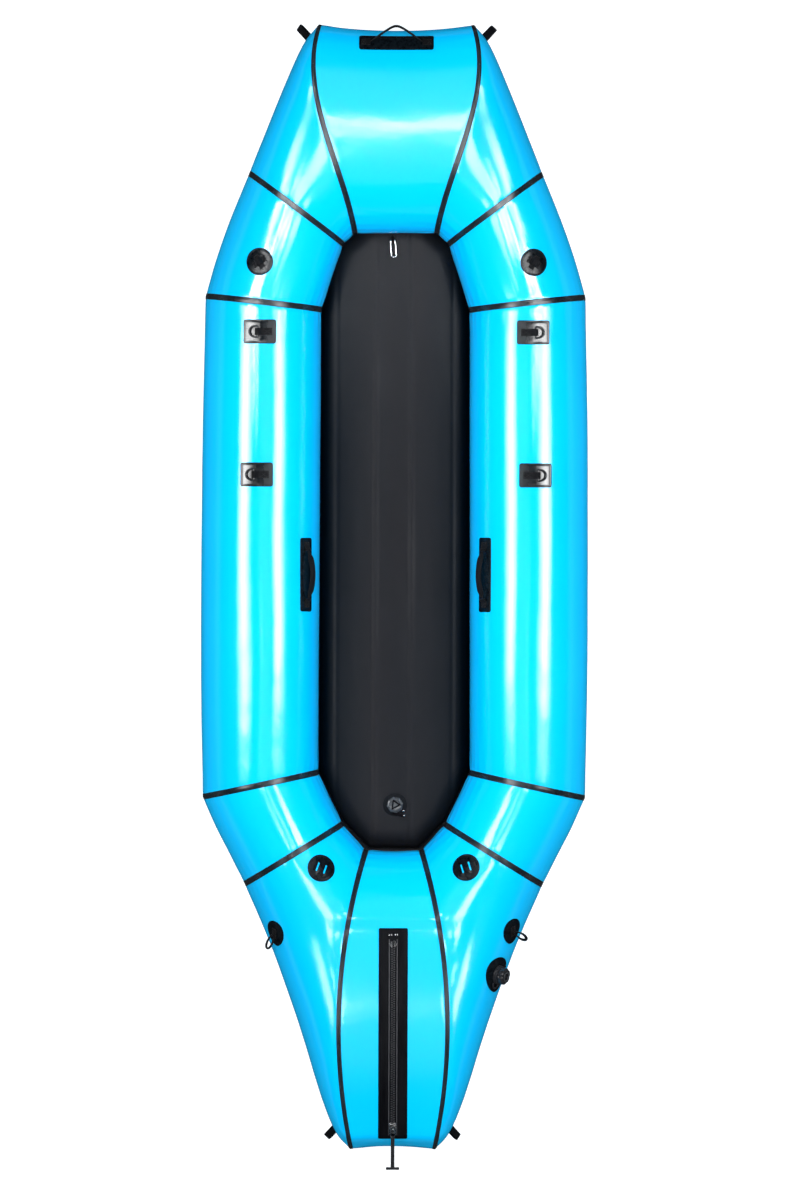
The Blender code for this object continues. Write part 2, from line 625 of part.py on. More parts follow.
def zip_strip(hw, off, thick, y0, y1, nv, cols):
    lo, hi = [], []
    for j in range(nv + 1):
        y = y0 + (y1 - y0) * j / nv
        for i in range(cols + 1):
            x = -hw + 2 * hw * i / cols
            p, _, _, _ = hull.ray_cast(Vector((x, y + Y_SHIFT, 1)), Vector((0, 0, -1)))
            _, n, _, _ = fine.ray_cast(Vector((x, y + Y_SHIFT, 1)), Vector((0, 0, -1)))
            n = n if n.z > 0 else -n
            n = Vector((0, n.y, n.z)).normalized()
            lo.append(p + n * off)
            hi.append(p + n * (off + thick))
    faces, w = [], cols + 1
    for j in range(nv):
        for i in range(cols):
            k = j * w + i
            q = (k, k + 1, k + w + 1, k + w)
            faces += [(q[0], q[2], q[1]), (q[0], q[3], q[2])]
            q = [len(lo) + c for c in q]
            faces += [(q[0], q[1], q[2]), (q[0], q[2], q[3])]
    edge = list(range(w)) + [j * w + cols for j in range(1, nv + 1)] + [nv * w + i for i in range(cols - 1, -1, -1)] + [j * w for j in range(nv - 1, 0, -1)]
    for i, a in enumerate(edge):
        b = edge[(i + 1) % len(edge)]
        faces += [(a, b, b + len(lo)), (a, b + len(lo), a + len(lo))]
    return lo + hi, faces


add("zip_tape", *zip_strip(0.0365, 0.0024, 0.0016, zip_lo, zip_hi, 34, 4), BLACK, 0.5)
add("zip_teeth", *zip_strip(0.0065, 0.0052, 0.0026, zip_lo + 0.012, zip_hi - 0.016, 34, 2), (0.03, 0.03, 0.033), 0.4)

# ---------------------------------------------------------------- zip slider and its pull
# The slider follows the zip's arc: it turns about (ARC_Y, ARC_Z).
SLIDER_Y = -1.3220
slope = math.asin((SLIDER_Y - ARC_Y) / ARC_R)  # lean of the outward normal at the slider
n = Vector((0, math.sin(slope), math.cos(slope)))
hit = Vector((0, ARC_Y + Y_SHIFT, ARC_Z)) + n * ARC_R
m = frame_from(hit, n, (0, 1, 0))
deck = 0.0052 + 0.0026 + 0.0010
body = [(-0.0085, deck), (0.0085, deck), (0.0095, deck + 0.0015), (0.0080, deck + 0.0058), (-0.0080, deck + 0.0058), (-0.0095, deck + 0.0015)]
slider = add("zip_slider", *prism(m, body, -0.0140, 0.0140), (0.55, 0.56, 0.58), 0.3, 1.0)
ear_path = band([(-0.0115, deck + 0.0052), (-0.0105, deck + 0.0115), (-0.0050, deck + 0.0135), (0.0020, deck + 0.0118), (0.0050, deck + 0.0052)], 0.0022)
ear = guide("zip_ear_guide", *sweep([[m @ Vector((u, a, b)) for a, b in ear_path] for u in (-0.0022, 0.0022)]))
combine(slider, ear, "UNION")
# The pull hangs from the eye under the ear, over the end of the stern.
eye = m @ Vector((0, -0.0030, deck + 0.0090))
droop = math.radians(11)
aft = Vector((0, -math.cos(droop), -math.sin(droop)))
up = Vector((0, -math.sin(droop), math.cos(droop)))
mp = Matrix((Vector((1, 0, 0)), aft, up)).transposed().to_4x4()
mp.translation = eye


def flat(outline, h0, h1):
    return sweep([[mp @ Vector((a, b, h)) for a, b in outline] for h in (h0, h1)])


stem = [(-0.0036, 0.0182), (0.0036, 0.0182), (0.0048, 0.0205), (0.0048, 0.0955), (0.0158, 0.0958), (0.0172, 0.0975), (0.0172, 0.1015), (0.0158, 0.1032), (-0.0158, 0.1032), (-0.0172, 0.1015), (-0.0172, 0.0975), (-0.0158, 0.0958), (-0.0048, 0.0955), (-0.0048, 0.0205)]
pull = add("zip_pull", *flat(stem, -0.0018, 0.0018), BLACK, 0.5)
oval = [(0.0062 * math.cos(a), 0.0095 - 0.0112 * math.sin(a), 0.0) for a in (2 * math.pi * k / 14 for k in range(14))]
link = guide("zip_link_guide", *wire_loop(mp, oval, 0.0013, 6))
combine(pull, link, "UNION")

# ---------------------------------------------------------------- gear ring at the front of the mat
m = mat_frame(-0.0075, 0.8990, (1, 0.078, 0))
m.translation.z = MAT_TOP + 0.0005
tab = [(-0.0160, 0.0), (0.0085, 0.0), (0.0085, 0.0016), (0.0052, 0.0018), (0.0042, 0.0072), (0.0026, 0.0092), (-0.0026, 0.0092), (-0.0044, 0.0072), (-0.0052, 0.0018), (-0.0160, 0.0016)]
tab_ob = add("gear_ring_tab", *prism(m, tab, -0.0030, 0.0030), BLACK, 0.55)
bore = guide("gear_bore_guide", *prism(m, [(0.0036 * math.cos(2 * math.pi * k / 10), 0.0050 + 0.0033 * math.sin(2 * math.pi * k / 10)) for k in range(10)], -0.02, 0.02))
combine(tab_ob, bore, "DIFFERENCE")
path = [(0, -0.0056, 0.0050), (0, 0, 0.0050), (0, 0.0056, 0.0050), (0.0120, 0.0060, 0.0050), (0.0240, 0.0060, 0.0050)]
for i in range(7):
    a = math.pi / 2 - math.pi * i / 6
    path.append((0.0362 + 0.0062 * math.cos(a), 0.0060 * math.sin(a), 0.0050))
path += [(0.0240, -0.0060, 0.0050), (0.0120, -0.0060, 0.0050)]
add("gear_ring", *wire_loop(m, path, 0.0022), (0.2, 0.2, 0.21), 0.3)
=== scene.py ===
"""How the packraft looks: fine skins, seam tapes, webbing, valves and the zip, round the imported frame."""

import math

import bmesh
import bpy
import numpy as np
from mathutils import Matrix, Vector, noise
from mathutils.bvhtree import BVHTree


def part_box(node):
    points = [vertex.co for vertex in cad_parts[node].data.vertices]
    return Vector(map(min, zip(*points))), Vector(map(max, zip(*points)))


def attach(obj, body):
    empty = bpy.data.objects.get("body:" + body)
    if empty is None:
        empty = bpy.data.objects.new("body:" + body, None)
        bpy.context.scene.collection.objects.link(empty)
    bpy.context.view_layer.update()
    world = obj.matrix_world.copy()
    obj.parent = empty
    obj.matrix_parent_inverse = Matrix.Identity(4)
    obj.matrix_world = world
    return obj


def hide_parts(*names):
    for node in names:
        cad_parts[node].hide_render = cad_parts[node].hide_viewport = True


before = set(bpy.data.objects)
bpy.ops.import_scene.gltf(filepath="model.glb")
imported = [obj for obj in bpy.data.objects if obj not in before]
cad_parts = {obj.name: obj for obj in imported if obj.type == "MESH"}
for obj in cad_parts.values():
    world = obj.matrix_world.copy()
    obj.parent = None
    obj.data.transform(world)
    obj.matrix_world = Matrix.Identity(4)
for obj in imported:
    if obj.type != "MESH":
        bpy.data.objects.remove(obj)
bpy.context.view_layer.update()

# ---------------------------------------------------------------- the hull's form, in metres
TUBE_R, WALL, SHEET_T, BASE_GAP = 0.146, 0.002, 0.003, 0.0035
AXIS_Z = SHEET_T + BASE_GAP + TUBE_R
PATCH_OFF, PATCH_T = 0.0014, 0.0016
TOP = PATCH_OFF + PATCH_T
BOW_RISE, BOW_FROM, BOW_TO = 0.150, 0.700, 1.4325
STERN_RISE, STERN_FROM, STERN_TO = 0.150, -0.450, -1.3775
Y_SHIFT = -0.0038
MAT_TOP = 0.070
ARC_Y, ARC_Z, ARC_R = -1.168, -1.107, 1.462
SEAM = {
    "C": (0.103, 0.9150), "B": (0.133, 0.8875), "A": (0.186, 0.7225),
    "D": (0.190, -0.4375), "E": (0.129, -0.5675), "F": (0.070, -0.6325),
}
BULGE = {"C": 0.038, "B": 0.0, "A": 0.0, "D": 0.0, "E": 0.0, "F": 0.048}
OUTLINE = {
    "CB": [(0.194, 1.4325), (0.232, 1.385), (0.274, 1.295), (0.335, 1.145), (0.3675, 1.0625)],
    "BA": [(0.3675, 1.0625), (0.416, 0.945), (0.451, 0.845), (0.476, 0.755)],
    "AD": [(0.476, 0.755), (0.483, 0.395), (0.485, -0.150), (0.479, -0.500)],
    "DE": [(0.479, -0.500), (0.446, -0.575), (0.410, -0.645), (0.373, -0.7175)],
    "EF": [(0.373, -0.7175), (0.302, -0.885), (0.237, -1.065), (0.180, -1.245), (0.1425, -1.335), (0.106, -1.3775)],
}


def rise(y):
    y = np.asarray(y, float)
    bow = BOW_RISE * (np.maximum(y - BOW_FROM, 0) / (BOW_TO - BOW_FROM)) ** 2
    return bow + STERN_RISE * (np.maximum(STERN_FROM - y, 0) / (STERN_FROM - STERN_TO)) ** 2


def step(x):
    x = np.clip(x, 0.0, 1.0)
    return x * x * (3 - 2 * x)


def trim(y):
    length = 0.735
    a1 = TUBE_R + 0.12 * (length - 2 * TUBE_R)
    x = (-(y + 0.635) - a1) / (length - a1)
    top = AXIS_Z + rise(y) + TUBE_R * np.sqrt(np.maximum(1 - np.maximum(x, 0.0) ** 2, 0.0))
    arc = ARC_Z + np.sqrt(ARC_R**2 - (y - ARC_Y) ** 2)
    return (arc - top) * step((-0.790 - y) / 0.06) * step((y + 1.372) / 0.034)


def spline(points, t):
    n = len(points) - 1
    s = min(max(t, 0.0), 1.0) * n
    i = min(int(s), n - 1)
    f = s - i
    p1, p2 = np.array(points[i]), np.array(points[i + 1])
    p0 = np.array(points[i - 1]) if i > 0 else 2 * p1 - p2
    p3 = np.array(points[i + 2]) if i + 2 <= n else 2 * p2 - p1
    return 0.5 * (2 * p1 + (p2 - p0) * f + (2 * p0 - 5 * p1 + 4 * p2 - p3) * f * f + (3 * p1 - p0 - 3 * p2 + p3) * f**3)


def spoke(panel, t, side=1):
    k = 1 - 2 * t
    if panel == "CC":
        return np.array((0.103 * k, 0.915)), np.array((0.194 * k, 1.4175 + 0.015 * k * k)), 0.038 * k, "bow"
    if panel == "FF":
        return np.array((0.070 * k, -0.635 + 0.0025 * k * k)), np.array((0.106 * k, -1.370 - 0.0075 * k * k)), 0.048 * k, "stern"
    a, b = panel
    flip = np.array((side, 1.0))
    inner = (np.array(SEAM[a]) * (1 - t) + np.array(SEAM[b]) * t) * flip
    outer = spline(OUTLINE[panel], t) * flip
    return inner, outer, (BULGE[a] * (1 - t) + BULGE[b] * t) * side, "bow" if a in "CBA" and b != "D" else "stern"


def surface(panel, side, ts, thetas, w=0.0):
    """Points of the tube: rows along t, columns round theta (0 cockpit, 90 top, 180 outline, 270 bottom)."""
    out = np.empty((len(ts), len(thetas), 3))
    c, s = np.cos(thetas), np.sin(thetas)
    for r, t in enumerate(ts):
        inner, outer, bulge, end = spoke(panel, t, side)
        length = float(np.linalg.norm(outer - inner))
        a1 = min(length / 2, TUBE_R + 0.12 * max(length - 2 * TUBE_R, 0))
        a2 = length - a1
        u = (a1 - np.where(c > 0, (a1 - w) * c, (a2 - w) * c)) / length
        lean = 6.75 * u * u * (1 - u) if end == "bow" else 4 * u * (1 - u)
        x = inner[0] + (outer[0] - inner[0]) * u + bulge * lean
        y = inner[1] + (outer[1] - inner[1]) * u
        z = AXIS_Z + rise(y) + (TUBE_R - w) * s
        if panel in ("EF", "FF"):
            z = z + np.where(s > 0, trim(y) * step(s / 0.3) * (1.0 if panel == "FF" else t * t), 0.0)
        out[r] = np.stack([x, y + Y_SHIFT, z], -1)
    return out


PANELS = [
    ("bow_centre_panel", "CC", 6, 1),
    ("bow_shoulder_right", "CB", 5, 1),
    ("bow_shoulder_left", "CB", 5, -1),
    ("bow_corner_right", "BA", 3, 1),
    ("bow_corner_left", "BA", 3, -1),
    ("side_tube_right", "AD", 3, 1),
    ("side_tube_left", "AD", 3, -1),
    ("stern_corner_right", "DE", 2, 1),
    ("stern_corner_left", "DE", 2, -1),
    ("stern_quarter_right", "EF", 7, 1),
    ("stern_quarter_left", "EF", 7, -1),
    ("stern_centre_panel", "FF", 4, 1),
]


# ---------------------------------------------------------------- meshes
def bvh(grids):
    verts, tris, base = [], [], 0
    for g in grids:
        rows, n = g.shape[:2]
        verts += [tuple(p) for p in g.reshape(-1, 3)]
        for r in range(rows - 1):
            a, b = base + r * n, base + (r + 1) * n
            for i in range(n):
                j = (i + 1) % n
                tris += [(a + i, a + j, b + j), (a + i, b + j, b + i)]
        base += rows * n
    return BVHTree.FromPolygons(verts, tris)


def finish_mesh(name, verts, faces, uvs, mat, body, replaces=(), sharp=35, smooth=True):
    mesh = bpy.data.meshes.new(name)
    mesh.from_pydata([tuple(map(float, v)) for v in verts], [], [tuple(map(int, f)) for f in faces])
    if uvs is not None:
        layer = mesh.uv_layers.new(name="metres")
        layer.data.foreach_set("uv", np.asarray(uvs, np.float32).ravel())
    bm = bmesh.new()
    bm.from_mesh(mesh)
    bmesh.ops.recalc_face_normals(bm, faces=bm.faces)
    if bm.calc_volume(signed=True) < 0:
        bmesh.ops.reverse_faces(bm, faces=bm.faces)
    bm.to_mesh(mesh)
    bm.free()
    if smooth:
        mesh.shade_smooth()
        mesh.set_sharp_from_angle(angle=math.radians(sharp))
    ob = bpy.data.objects.new(name, mesh)
    bpy.context.scene.collection.objects.link(ob)
    mesh.materials.append(mat)
    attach(ob, body)
    if replaces:
        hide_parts(*replaces)
    return ob


def slab(name, top, bot, uv, mat, body="raft", wrap=False, replaces=(), sharp=35):
    """A closed sheet between two grids of points; wrap joins the last column to the first."""
    rows, cols = top.shape[:2]
    n, last = rows * cols, cols if wrap else cols - 1
    i, j = (a.ravel() for a in np.meshgrid(np.arange(rows - 1), np.arange(last), indexing="ij"))
    k = (j + 1) % cols
    q = np.stack([i * cols + j, i * cols + k, (i + 1) * cols + k, (i + 1) * cols + j], -1)
    t = np.stack([uv[i, j], uv[i, j + 1], uv[i + 1, j + 1], uv[i + 1, j]], -2)
    faces, uvs = [q, q[:, ::-1] + n], [t, t[:, ::-1]]
    for r in (0, rows - 1):
        j = np.arange(last)
        k = (j + 1) % cols
        f = np.stack([r * cols + j, r * cols + k, r * cols + k + n, r * cols + j + n], -1)
        g = np.stack([uv[r, j], uv[r, j + 1], uv[r, j + 1], uv[r, j]], -2)
        faces.append(f if r else f[:, ::-1])
        uvs.append(g if r else g[:, ::-1])
    if not wrap:
        for c in (0, cols - 1):
            i = np.arange(rows - 1)
            f = np.stack([i * cols + c, (i + 1) * cols + c, (i + 1) * cols + c + n, i * cols + c + n], -1)
            g = np.stack([uv[i, c], uv[i + 1, c], uv[i + 1, c], uv[i, c]], -2)
            faces.append(f)
            uvs.append(g)
    verts = np.concatenate([top.reshape(-1, 3), bot.reshape(-1, 3)])
    return finish_mesh(name, verts, np.concatenate(faces), np.concatenate(uvs), mat, body, replaces, sharp)


def tube(name, loops, mat, body="raft", closed=False, replaces=(), sharp=50, scale=1.0):
    """Loops of points joined into a bar, or into a ring when closed."""
    loops = [[Vector(p) for p in lp] for lp in loops]
    rows, n = len(loops), len(loops[0])
    verts = [p for lp in loops for p in lp]
    faces, uvs = [], []
    run = [0.0]
    mids = [sum(lp, Vector()) / n for lp in loops]
    for a, b in zip(mids, mids[1:] + mids[:1]):
        run.append(run[-1] + (b - a).length)
    girth = [0.0]
    for a, b in zip(loops[rows // 2], loops[rows // 2][1:] + loops[rows // 2][:1]):
        girth.append(girth[-1] + (b - a).length)
    for r in range(rows if closed else rows - 1):
        a, b = r * n, ((r + 1) % rows) * n
        for i in range(n):
            j = (i + 1) % n
            faces.append((a + i, a + j, b + j, b + i))
            uvs += [(girth[i] * scale, run[r] * scale), (girth[i + 1] * scale, run[r] * scale), (girth[i + 1] * scale, run[r + 1] * scale), (girth[i] * scale, run[r + 1] * scale)]
    if not closed:
        for base in (0, (rows - 1) * n):
            c = len(verts)
            verts.append(sum((verts[base + i] for i in range(n)), Vector()) / n)
            for i in range(n):
                j = (i + 1) % n
                faces.append((base + i, base + j, c))
                uvs += [(girth[i], 0), (girth[i + 1], 0), (girth[i], 0.001)]
    return finish_mesh(name, verts, faces, uvs, mat, body, replaces, sharp)


def oval(hw, ht, n=16, flat=0.35):
    """A webbing section: wide, thin, with rounded selvedges."""
    pts = []
    for i in range(n):
        a = 2 * math.pi * i / n
        c, s = math.cos(a), math.sin(a)
        pts.append((hw * math.copysign(abs(c) ** flat, c), ht * math.copysign(abs(s) ** 0.6, s)))
    return pts


def smooth_path(points, closed=False, times=3):
    """Corner cutting: rounds a path of points without leaving it far."""
    pts = [Vector(p) for p in points]
    for _ in range(times):
        out = [] if closed else [pts[0]]
        for i in range(len(pts) if closed else len(pts) - 1):
            a, b = pts[i], pts[(i + 1) % len(pts)]
            out += [a.lerp(b, 0.25), a.lerp(b, 0.75)]
        pts = out if closed else out + [pts[-1]]
    return pts


def resample(points, count, closed=False):
    pts = np.array([tuple(p) for p in points] + ([tuple(points[0])] if closed else []))
    d = np.concatenate([[0], np.cumsum(np.linalg.norm(np.diff(pts, axis=0), axis=1))])
    s = np.linspace(0, d[-1], count + 1)[:-1] if closed else np.linspace(0, d[-1], count)
    return [Vector([np.interp(v, d, pts[:, k]) for k in range(pts.shape[1])]) for v in s]


def strap(name, m, path, hw, ht, mat, body="raft", replaces=(), steps=60, across=(0, 1, 0), section=16, twist=0.0):
    """Flat webbing along a path of u, v, n points in frame m; across is its width direction."""
    pts = resample(smooth_path(path), steps)
    w0 = Vector(across)
    loops = []
    for i, p in enumerate(pts):
        d = (pts[min(i + 1, len(pts) - 1)] - pts[max(i - 1, 0)]).normalized()
        w = Matrix.Rotation(twist * math.sin(math.pi * i / (len(pts) - 1)), 3, d) @ w0 if twist else w0
        w = (w - d * w.dot(d)).normalized()
        t = d.cross(w)
        loops.append([m @ (p + w * a + t * b) for a, b in oval(hw, ht, section)])
    return tube(name, loops, mat, body, replaces=replaces)


def wire(name, m, path, radius, mat, body, replaces=(), count=96, sides=14, rounds=2):
    pts = resample(smooth_path(path, True, rounds), count, True)
    loops, n = [], len(pts)
    for i, p in enumerate(pts):
        d = (pts[(i + 1) % n] - pts[i - 1]).normalized()
        e = d.cross(Vector((0, 0, 1))).normalized()
        f = d.cross(e)
        loops.append([m @ (p + radius * (e * math.cos(2 * math.pi * k / sides) + f * math.sin(2 * math.pi * k / sides))) for k in range(sides)])
    return tube(name, loops, mat, body, closed=True, replaces=replaces)


def turned(name, m, profile, mat, body="raft", replaces=(), segs=64, shape=None, sharp=35):
    """A piece turned about n: profile of (radius, height) from the axis round to the axis."""
    rows = [(max(r, 0.00015), h) for r, h in profile]
    loops = []
    for r, h in rows:
        ring = []
        for s in range(segs):
            a = 2 * math.pi * s / segs
            k = shape(a, r, h) if shape else 1.0
            ring.append(m @ Vector((r * k * math.cos(a), r * k * math.sin(a), h)))
        loops.append(ring)
    return tube(name, loops, mat, body, replaces=replaces, sharp=sharp)


def eased(points, radius=0.0006, n=3):
    """Rounds the corners of a turned profile."""
    out = [points[0]]
    for a, b, c in zip(points, points[1:], points[2:]):
        a, b, c = Vector(a), Vector(b), Vector(c)
        r = min(radius, (a - b).length * 0.45, (c - b).length * 0.45)
        p, q = b + (a - b).normalized() * r, b + (c - b).normalized() * r
        for i in range(n + 1):
            t = i / n
            out.append(tuple((1 - t) ** 2 * p + 2 * t * (1 - t) * b + t * t * q))
    return out + [points[-1]]


# ---------------------------------------------------------------- materials
class Finish:
    """A material built from nodes round one Principled shader."""

    def __init__(self, name, colour, rough=0.4, metal=0.0, specular=0.5):
        self.m = bpy.data.materials.new(name)
        self.m.use_nodes = True
        self.t = self.m.node_tree
        self.b = self.t.nodes["Principled BSDF"]
        self.b.inputs["Base Color"].default_value = (*colour, 1)
        self.b.inputs["Roughness"].default_value = rough
        self.b.inputs["Metallic"].default_value = metal
        self.b.inputs["Specular IOR Level"].default_value = specular
        self.normal = None

    def add(self, kind, inputs=None, **props):
        n = self.t.nodes.new(kind)
        for k, v in props.items():
            setattr(n, k, v)
        for k, v in (inputs or {}).items():
            if isinstance(v, bpy.types.NodeSocket):
                self.t.links.new(v, n.inputs[k])
            else:
                n.inputs[k].default_value = v
        return n

    def object_space(self, scale=(1, 1, 1)):
        c = self.add("ShaderNodeTexCoord")
        return self.add("ShaderNodeMapping", {"Vector": c.outputs["Object"], "Scale": scale}).outputs[0]

    def uv(self, scale=(1, 1, 1), turn=0.0):
        c = self.add("ShaderNodeUVMap", uv_map="metres")
        return self.add("ShaderNodeMapping", {"Vector": c.outputs[0], "Scale": scale, "Rotation": (0, 0, turn)}).outputs[0]

    def cloud(self, vector, scale, detail=3.0, rough=0.5):
        return self.add("ShaderNodeTexNoise", {"Vector": vector, "Scale": scale, "Detail": detail, "Roughness": rough}).outputs["Fac"]

    def spread(self, value, lo, hi, a=0.3, b=0.7):
        return self.add("ShaderNodeMapRange", {"Value": value, "From Min": a, "From Max": b, "To Min": lo, "To Max": hi}).outputs[0]

    def maths(self, op, a, b=0.0):
        return self.add("ShaderNodeMath", {0: a, 1: b}, operation=op).outputs[0]

    def mix(self, factor, a, b, blend="MIX"):
        n = self.add("ShaderNodeMix", data_type="RGBA", blend_type=blend)
        for sock, v in ((n.inputs[0], factor), (n.inputs[6], a), (n.inputs[7], b)):
            if isinstance(v, bpy.types.NodeSocket):
                self.t.links.new(v, sock)
            else:
                sock.default_value = (*v, 1) if isinstance(v, tuple) else v
        return n.outputs[2]

    def colour(self, socket):
        self.t.links.new(socket, self.b.inputs["Base Color"])

    def rough(self, socket):
        self.t.links.new(socket, self.b.inputs["Roughness"])

    def bump(self, height, strength, distance):
        ins = {"Height": height, "Strength": strength, "Distance": distance}
        if self.normal is not None:
            ins["Normal"] = self.normal
        self.normal = self.add("ShaderNodeBump", ins).outputs[0]
        self.t.links.new(self.normal, self.b.inputs["Normal"])

    def weave(self, pitch):
        """A plain weave's height at this pitch in metres, on the piece's own uv."""
        v = self.uv()
        a = self.add("ShaderNodeTexWave", {"Vector": v, "Scale": 0.314 / pitch, "Distortion": 0.0, "Detail": 0.0}, bands_direction="X").outputs["Fac"]
        b = self.add("ShaderNodeTexWave", {"Vector": v, "Scale": 0.314 / pitch, "Distortion": 0.0, "Detail": 0.0}, bands_direction="Y").outputs["Fac"]
        return self.maths("MULTIPLY", a, b)


def make_finishes():
    f = {}
    # coated nylon of the tube: glossy, with a faint grid of yarns and hazy rubbed streaks
    k = Finish("tube_fabric_finish", (0.0, 0.50, 0.96), 0.14)
    big = k.cloud(k.object_space(), 2.2, 2.0)
    k.colour(k.mix(k.spread(big, 0.0, 1.0), (0.0, 0.465, 0.92), (0.0, 0.500, 0.96)))
    streak = k.cloud(k.uv((9.0, 2.0, 1.0), 0.5), 1.0, 5.0, 0.6)
    fine = k.cloud(k.uv(), 60.0, 3.0)
    k.rough(k.maths("ADD", k.spread(streak, 0.085, 0.145), k.spread(fine, -0.01, 0.015)))
    k.bump(k.cloud(k.object_space(), 18.0, 2.0), 0.12, 0.003)
    k.bump(k.weave(0.0009), 0.02, 0.0001)
    f["tube"] = k.m
    # seam tape: black coated fabric, slicker along its middle; painted shade darkens its edges to near-black, so its
    # greyer middle is a painted sheen
    k = Finish("seam_tape_finish", (0.012, 0.016, 0.019), 0.26, specular=0.36)
    across = k.add("ShaderNodeSeparateXYZ", {"Vector": k.uv()}).outputs["X"]
    edge = k.maths("ABSOLUTE", across)
    # painted shade: this mask picks out the tape's edges, which the colour mixes to near-black and the roughness makes
    # duller
    mid = k.spread(edge, 0.0, 1.0, 0.0058, 0.0070)
    worn = k.cloud(k.uv((60, 18, 1)), 1.0, 4.0, 0.65)
    body = k.mix(k.spread(worn, 0.0, 1.0), (0.003, 0.006, 0.009), (0.015, 0.022, 0.028))
    k.colour(k.mix(mid, body, (0.002, 0.002, 0.003)))
    k.rough(k.maths("ADD", k.spread(worn, 0.18, 0.30), k.maths("MULTIPLY", mid, 0.3)))
    k.bump(k.cloud(k.uv((70, 30, 1)), 1.0, 3.0), 0.25, 0.0006)
    k.bump(k.weave(0.0008), 0.12, 0.0001)
    f["tape"] = k.m
    # floor mat: matt coated polyester, warm in the middle; painted shade with a painted blue bounce from the tubes
    # makes it darker and bluer towards the sides, and painted shade turns its rim near-black where it rolls down beside
    # the tubes
    k = Finish("mat_fabric_finish", (0.030, 0.030, 0.035), 0.42, specular=0.12)
    xyz = k.add("ShaderNodeSeparateXYZ", {"Vector": k.object_space()})
    lane = k.cloud(k.object_space((26, 1.1, 1)), 1.0, 3.0, 0.55)
    # painted shade with a painted blue bounce: this mask darkens and blues the mat towards its sides
    centre = k.spread(k.maths("ABSOLUTE", xyz.outputs["X"]), 0.0, 1.0, 0.05, 0.16)
    tone = k.mix(centre, (0.0067, 0.0069, 0.0086), (0.0034, 0.0058, 0.0086))
    tone = k.mix(k.spread(lane, 0.0, 0.5), tone, (0.0056, 0.0071, 0.0094))
    # painted shade: this mask turns the mat's rim near-black where it rolls down beside the tubes
    rim = k.spread(k.maths("ABSOLUTE", xyz.outputs["X"]), 0.0, 1.0, 0.148, 0.170)
    k.colour(k.mix(rim, tone, (0.0003, 0.0013, 0.0026)))
    k.rough(k.spread(k.cloud(k.object_space((7, 2, 1)), 1.0, 4.0), 0.40, 0.55))
    k.bump(k.cloud(k.object_space((9, 3, 3)), 1.0, 3.0), 0.3, 0.004)
    k.bump(k.weave(0.0011), 0.16, 0.00015)
    f["mat"] = k.m
    # bottom fabric: heavier and duller, with a scuffed grain
    k = Finish("bottom_fabric_finish", (0.020, 0.021, 0.023), 0.6, specular=0.2)
    scuff = k.cloud(k.object_space((3, 14, 3)), 1.6, 6.0, 0.7)
    k.colour(k.mix(k.spread(scuff, 0.0, 1.0), (0.014, 0.015, 0.017), (0.030, 0.031, 0.034)))
    k.rough(k.spread(scuff, 0.5, 0.68))
    k.bump(k.weave(0.0013), 0.3, 0.0002)
    f["bottom"] = k.m
    # patches: black coated fabric with a leathery press
    for key, name, shine, lo, hi in (("patch", "patch_fabric_finish", 0.13, 0.14, 0.22), ("slick", "ring_patch_finish", 0.46, 0.10, 0.16)):
        k = Finish(name, (0.009, 0.011, 0.014), 0.18, specular=shine)
        blot = k.cloud(k.uv(), 85.0, 4.0, 0.6)
        k.colour(k.mix(k.spread(blot, 0.0, 1.0), (0.0008, 0.0016, 0.0028), (0.0050, 0.0080, 0.0110)))
        rough = k.spread(blot, lo, hi)
        if key == "slick":
            # rubbed smooth under the ring, duller towards the cockpit
            out = k.add("ShaderNodeSeparateXYZ", {"Vector": k.uv()}).outputs["X"]
            rough = k.maths("ADD", rough, k.spread(out, 0.34, 0.0, -0.034, -0.006))
        k.rough(rough)
        k.bump(k.cloud(k.uv(), 140.0, 3.0), 0.10, 0.0005)
        k.bump(k.weave(0.0008), 0.15, 0.0001)
        f[key] = k.m
    # the pressed border of a patch: dull black
    k = Finish("patch_edge_finish", (0.002, 0.002, 0.003), 0.6, specular=0.06)
    k.rough(k.spread(k.cloud(k.object_space(), 300.0, 3.0), 0.5, 0.7))
    f["edge"] = k.m
    # webbing: ribs across its length
    k = Finish("webbing_finish", (0.008, 0.008, 0.010), 0.62, specular=0.12)
    v = k.uv()
    rib = k.add("ShaderNodeTexWave", {"Vector": v, "Scale": 0.314 / 0.0016, "Distortion": 0.0, "Detail": 0.0}, bands_direction="Y").outputs["Fac"]
    yarn = k.add("ShaderNodeTexWave", {"Vector": v, "Scale": 0.314 / 0.0007, "Distortion": 0.0, "Detail": 0.0}, bands_direction="X").outputs["Fac"]
    k.colour(k.mix(k.maths("MULTIPLY", rib, yarn), (0.0018, 0.0020, 0.0026), (0.0090, 0.0095, 0.0120)))
    k.bump(rib, 0.5, 0.0003)
    k.bump(yarn, 0.35, 0.0002)
    k.b.inputs["Sheen Weight"].default_value = 0.02
    k.b.inputs["Sheen Roughness"].default_value = 0.5
    f["webbing"] = k.m
    # sewing thread
    k = Finish("thread_finish", (0.020, 0.020, 0.022), 0.55)
    k.rough(k.spread(k.cloud(k.object_space(), 900.0, 2.0), 0.45, 0.65))
    f["thread"] = k.m
    # moulded black plastic
    for key, name, lo, hi in (("plastic", "valve_plastic_finish", 0.26, 0.40), ("ring", "ring_plastic_finish", 0.12, 0.20), ("pull", "pull_plastic_finish", 0.30, 0.46)):
        k = Finish(name, (0.013, 0.014, 0.016), 0.3, specular=0.4)
        cl = k.cloud(k.object_space(), 260.0, 4.0, 0.6)
        k.colour(k.mix(k.spread(cl, 0.0, 1.0), (0.010, 0.011, 0.013), (0.020, 0.021, 0.024)))
        k.rough(k.spread(cl, lo, hi))
        k.bump(k.cloud(k.object_space(), 1400.0, 2.0), 0.2, 0.0002)
        f[key] = k.m
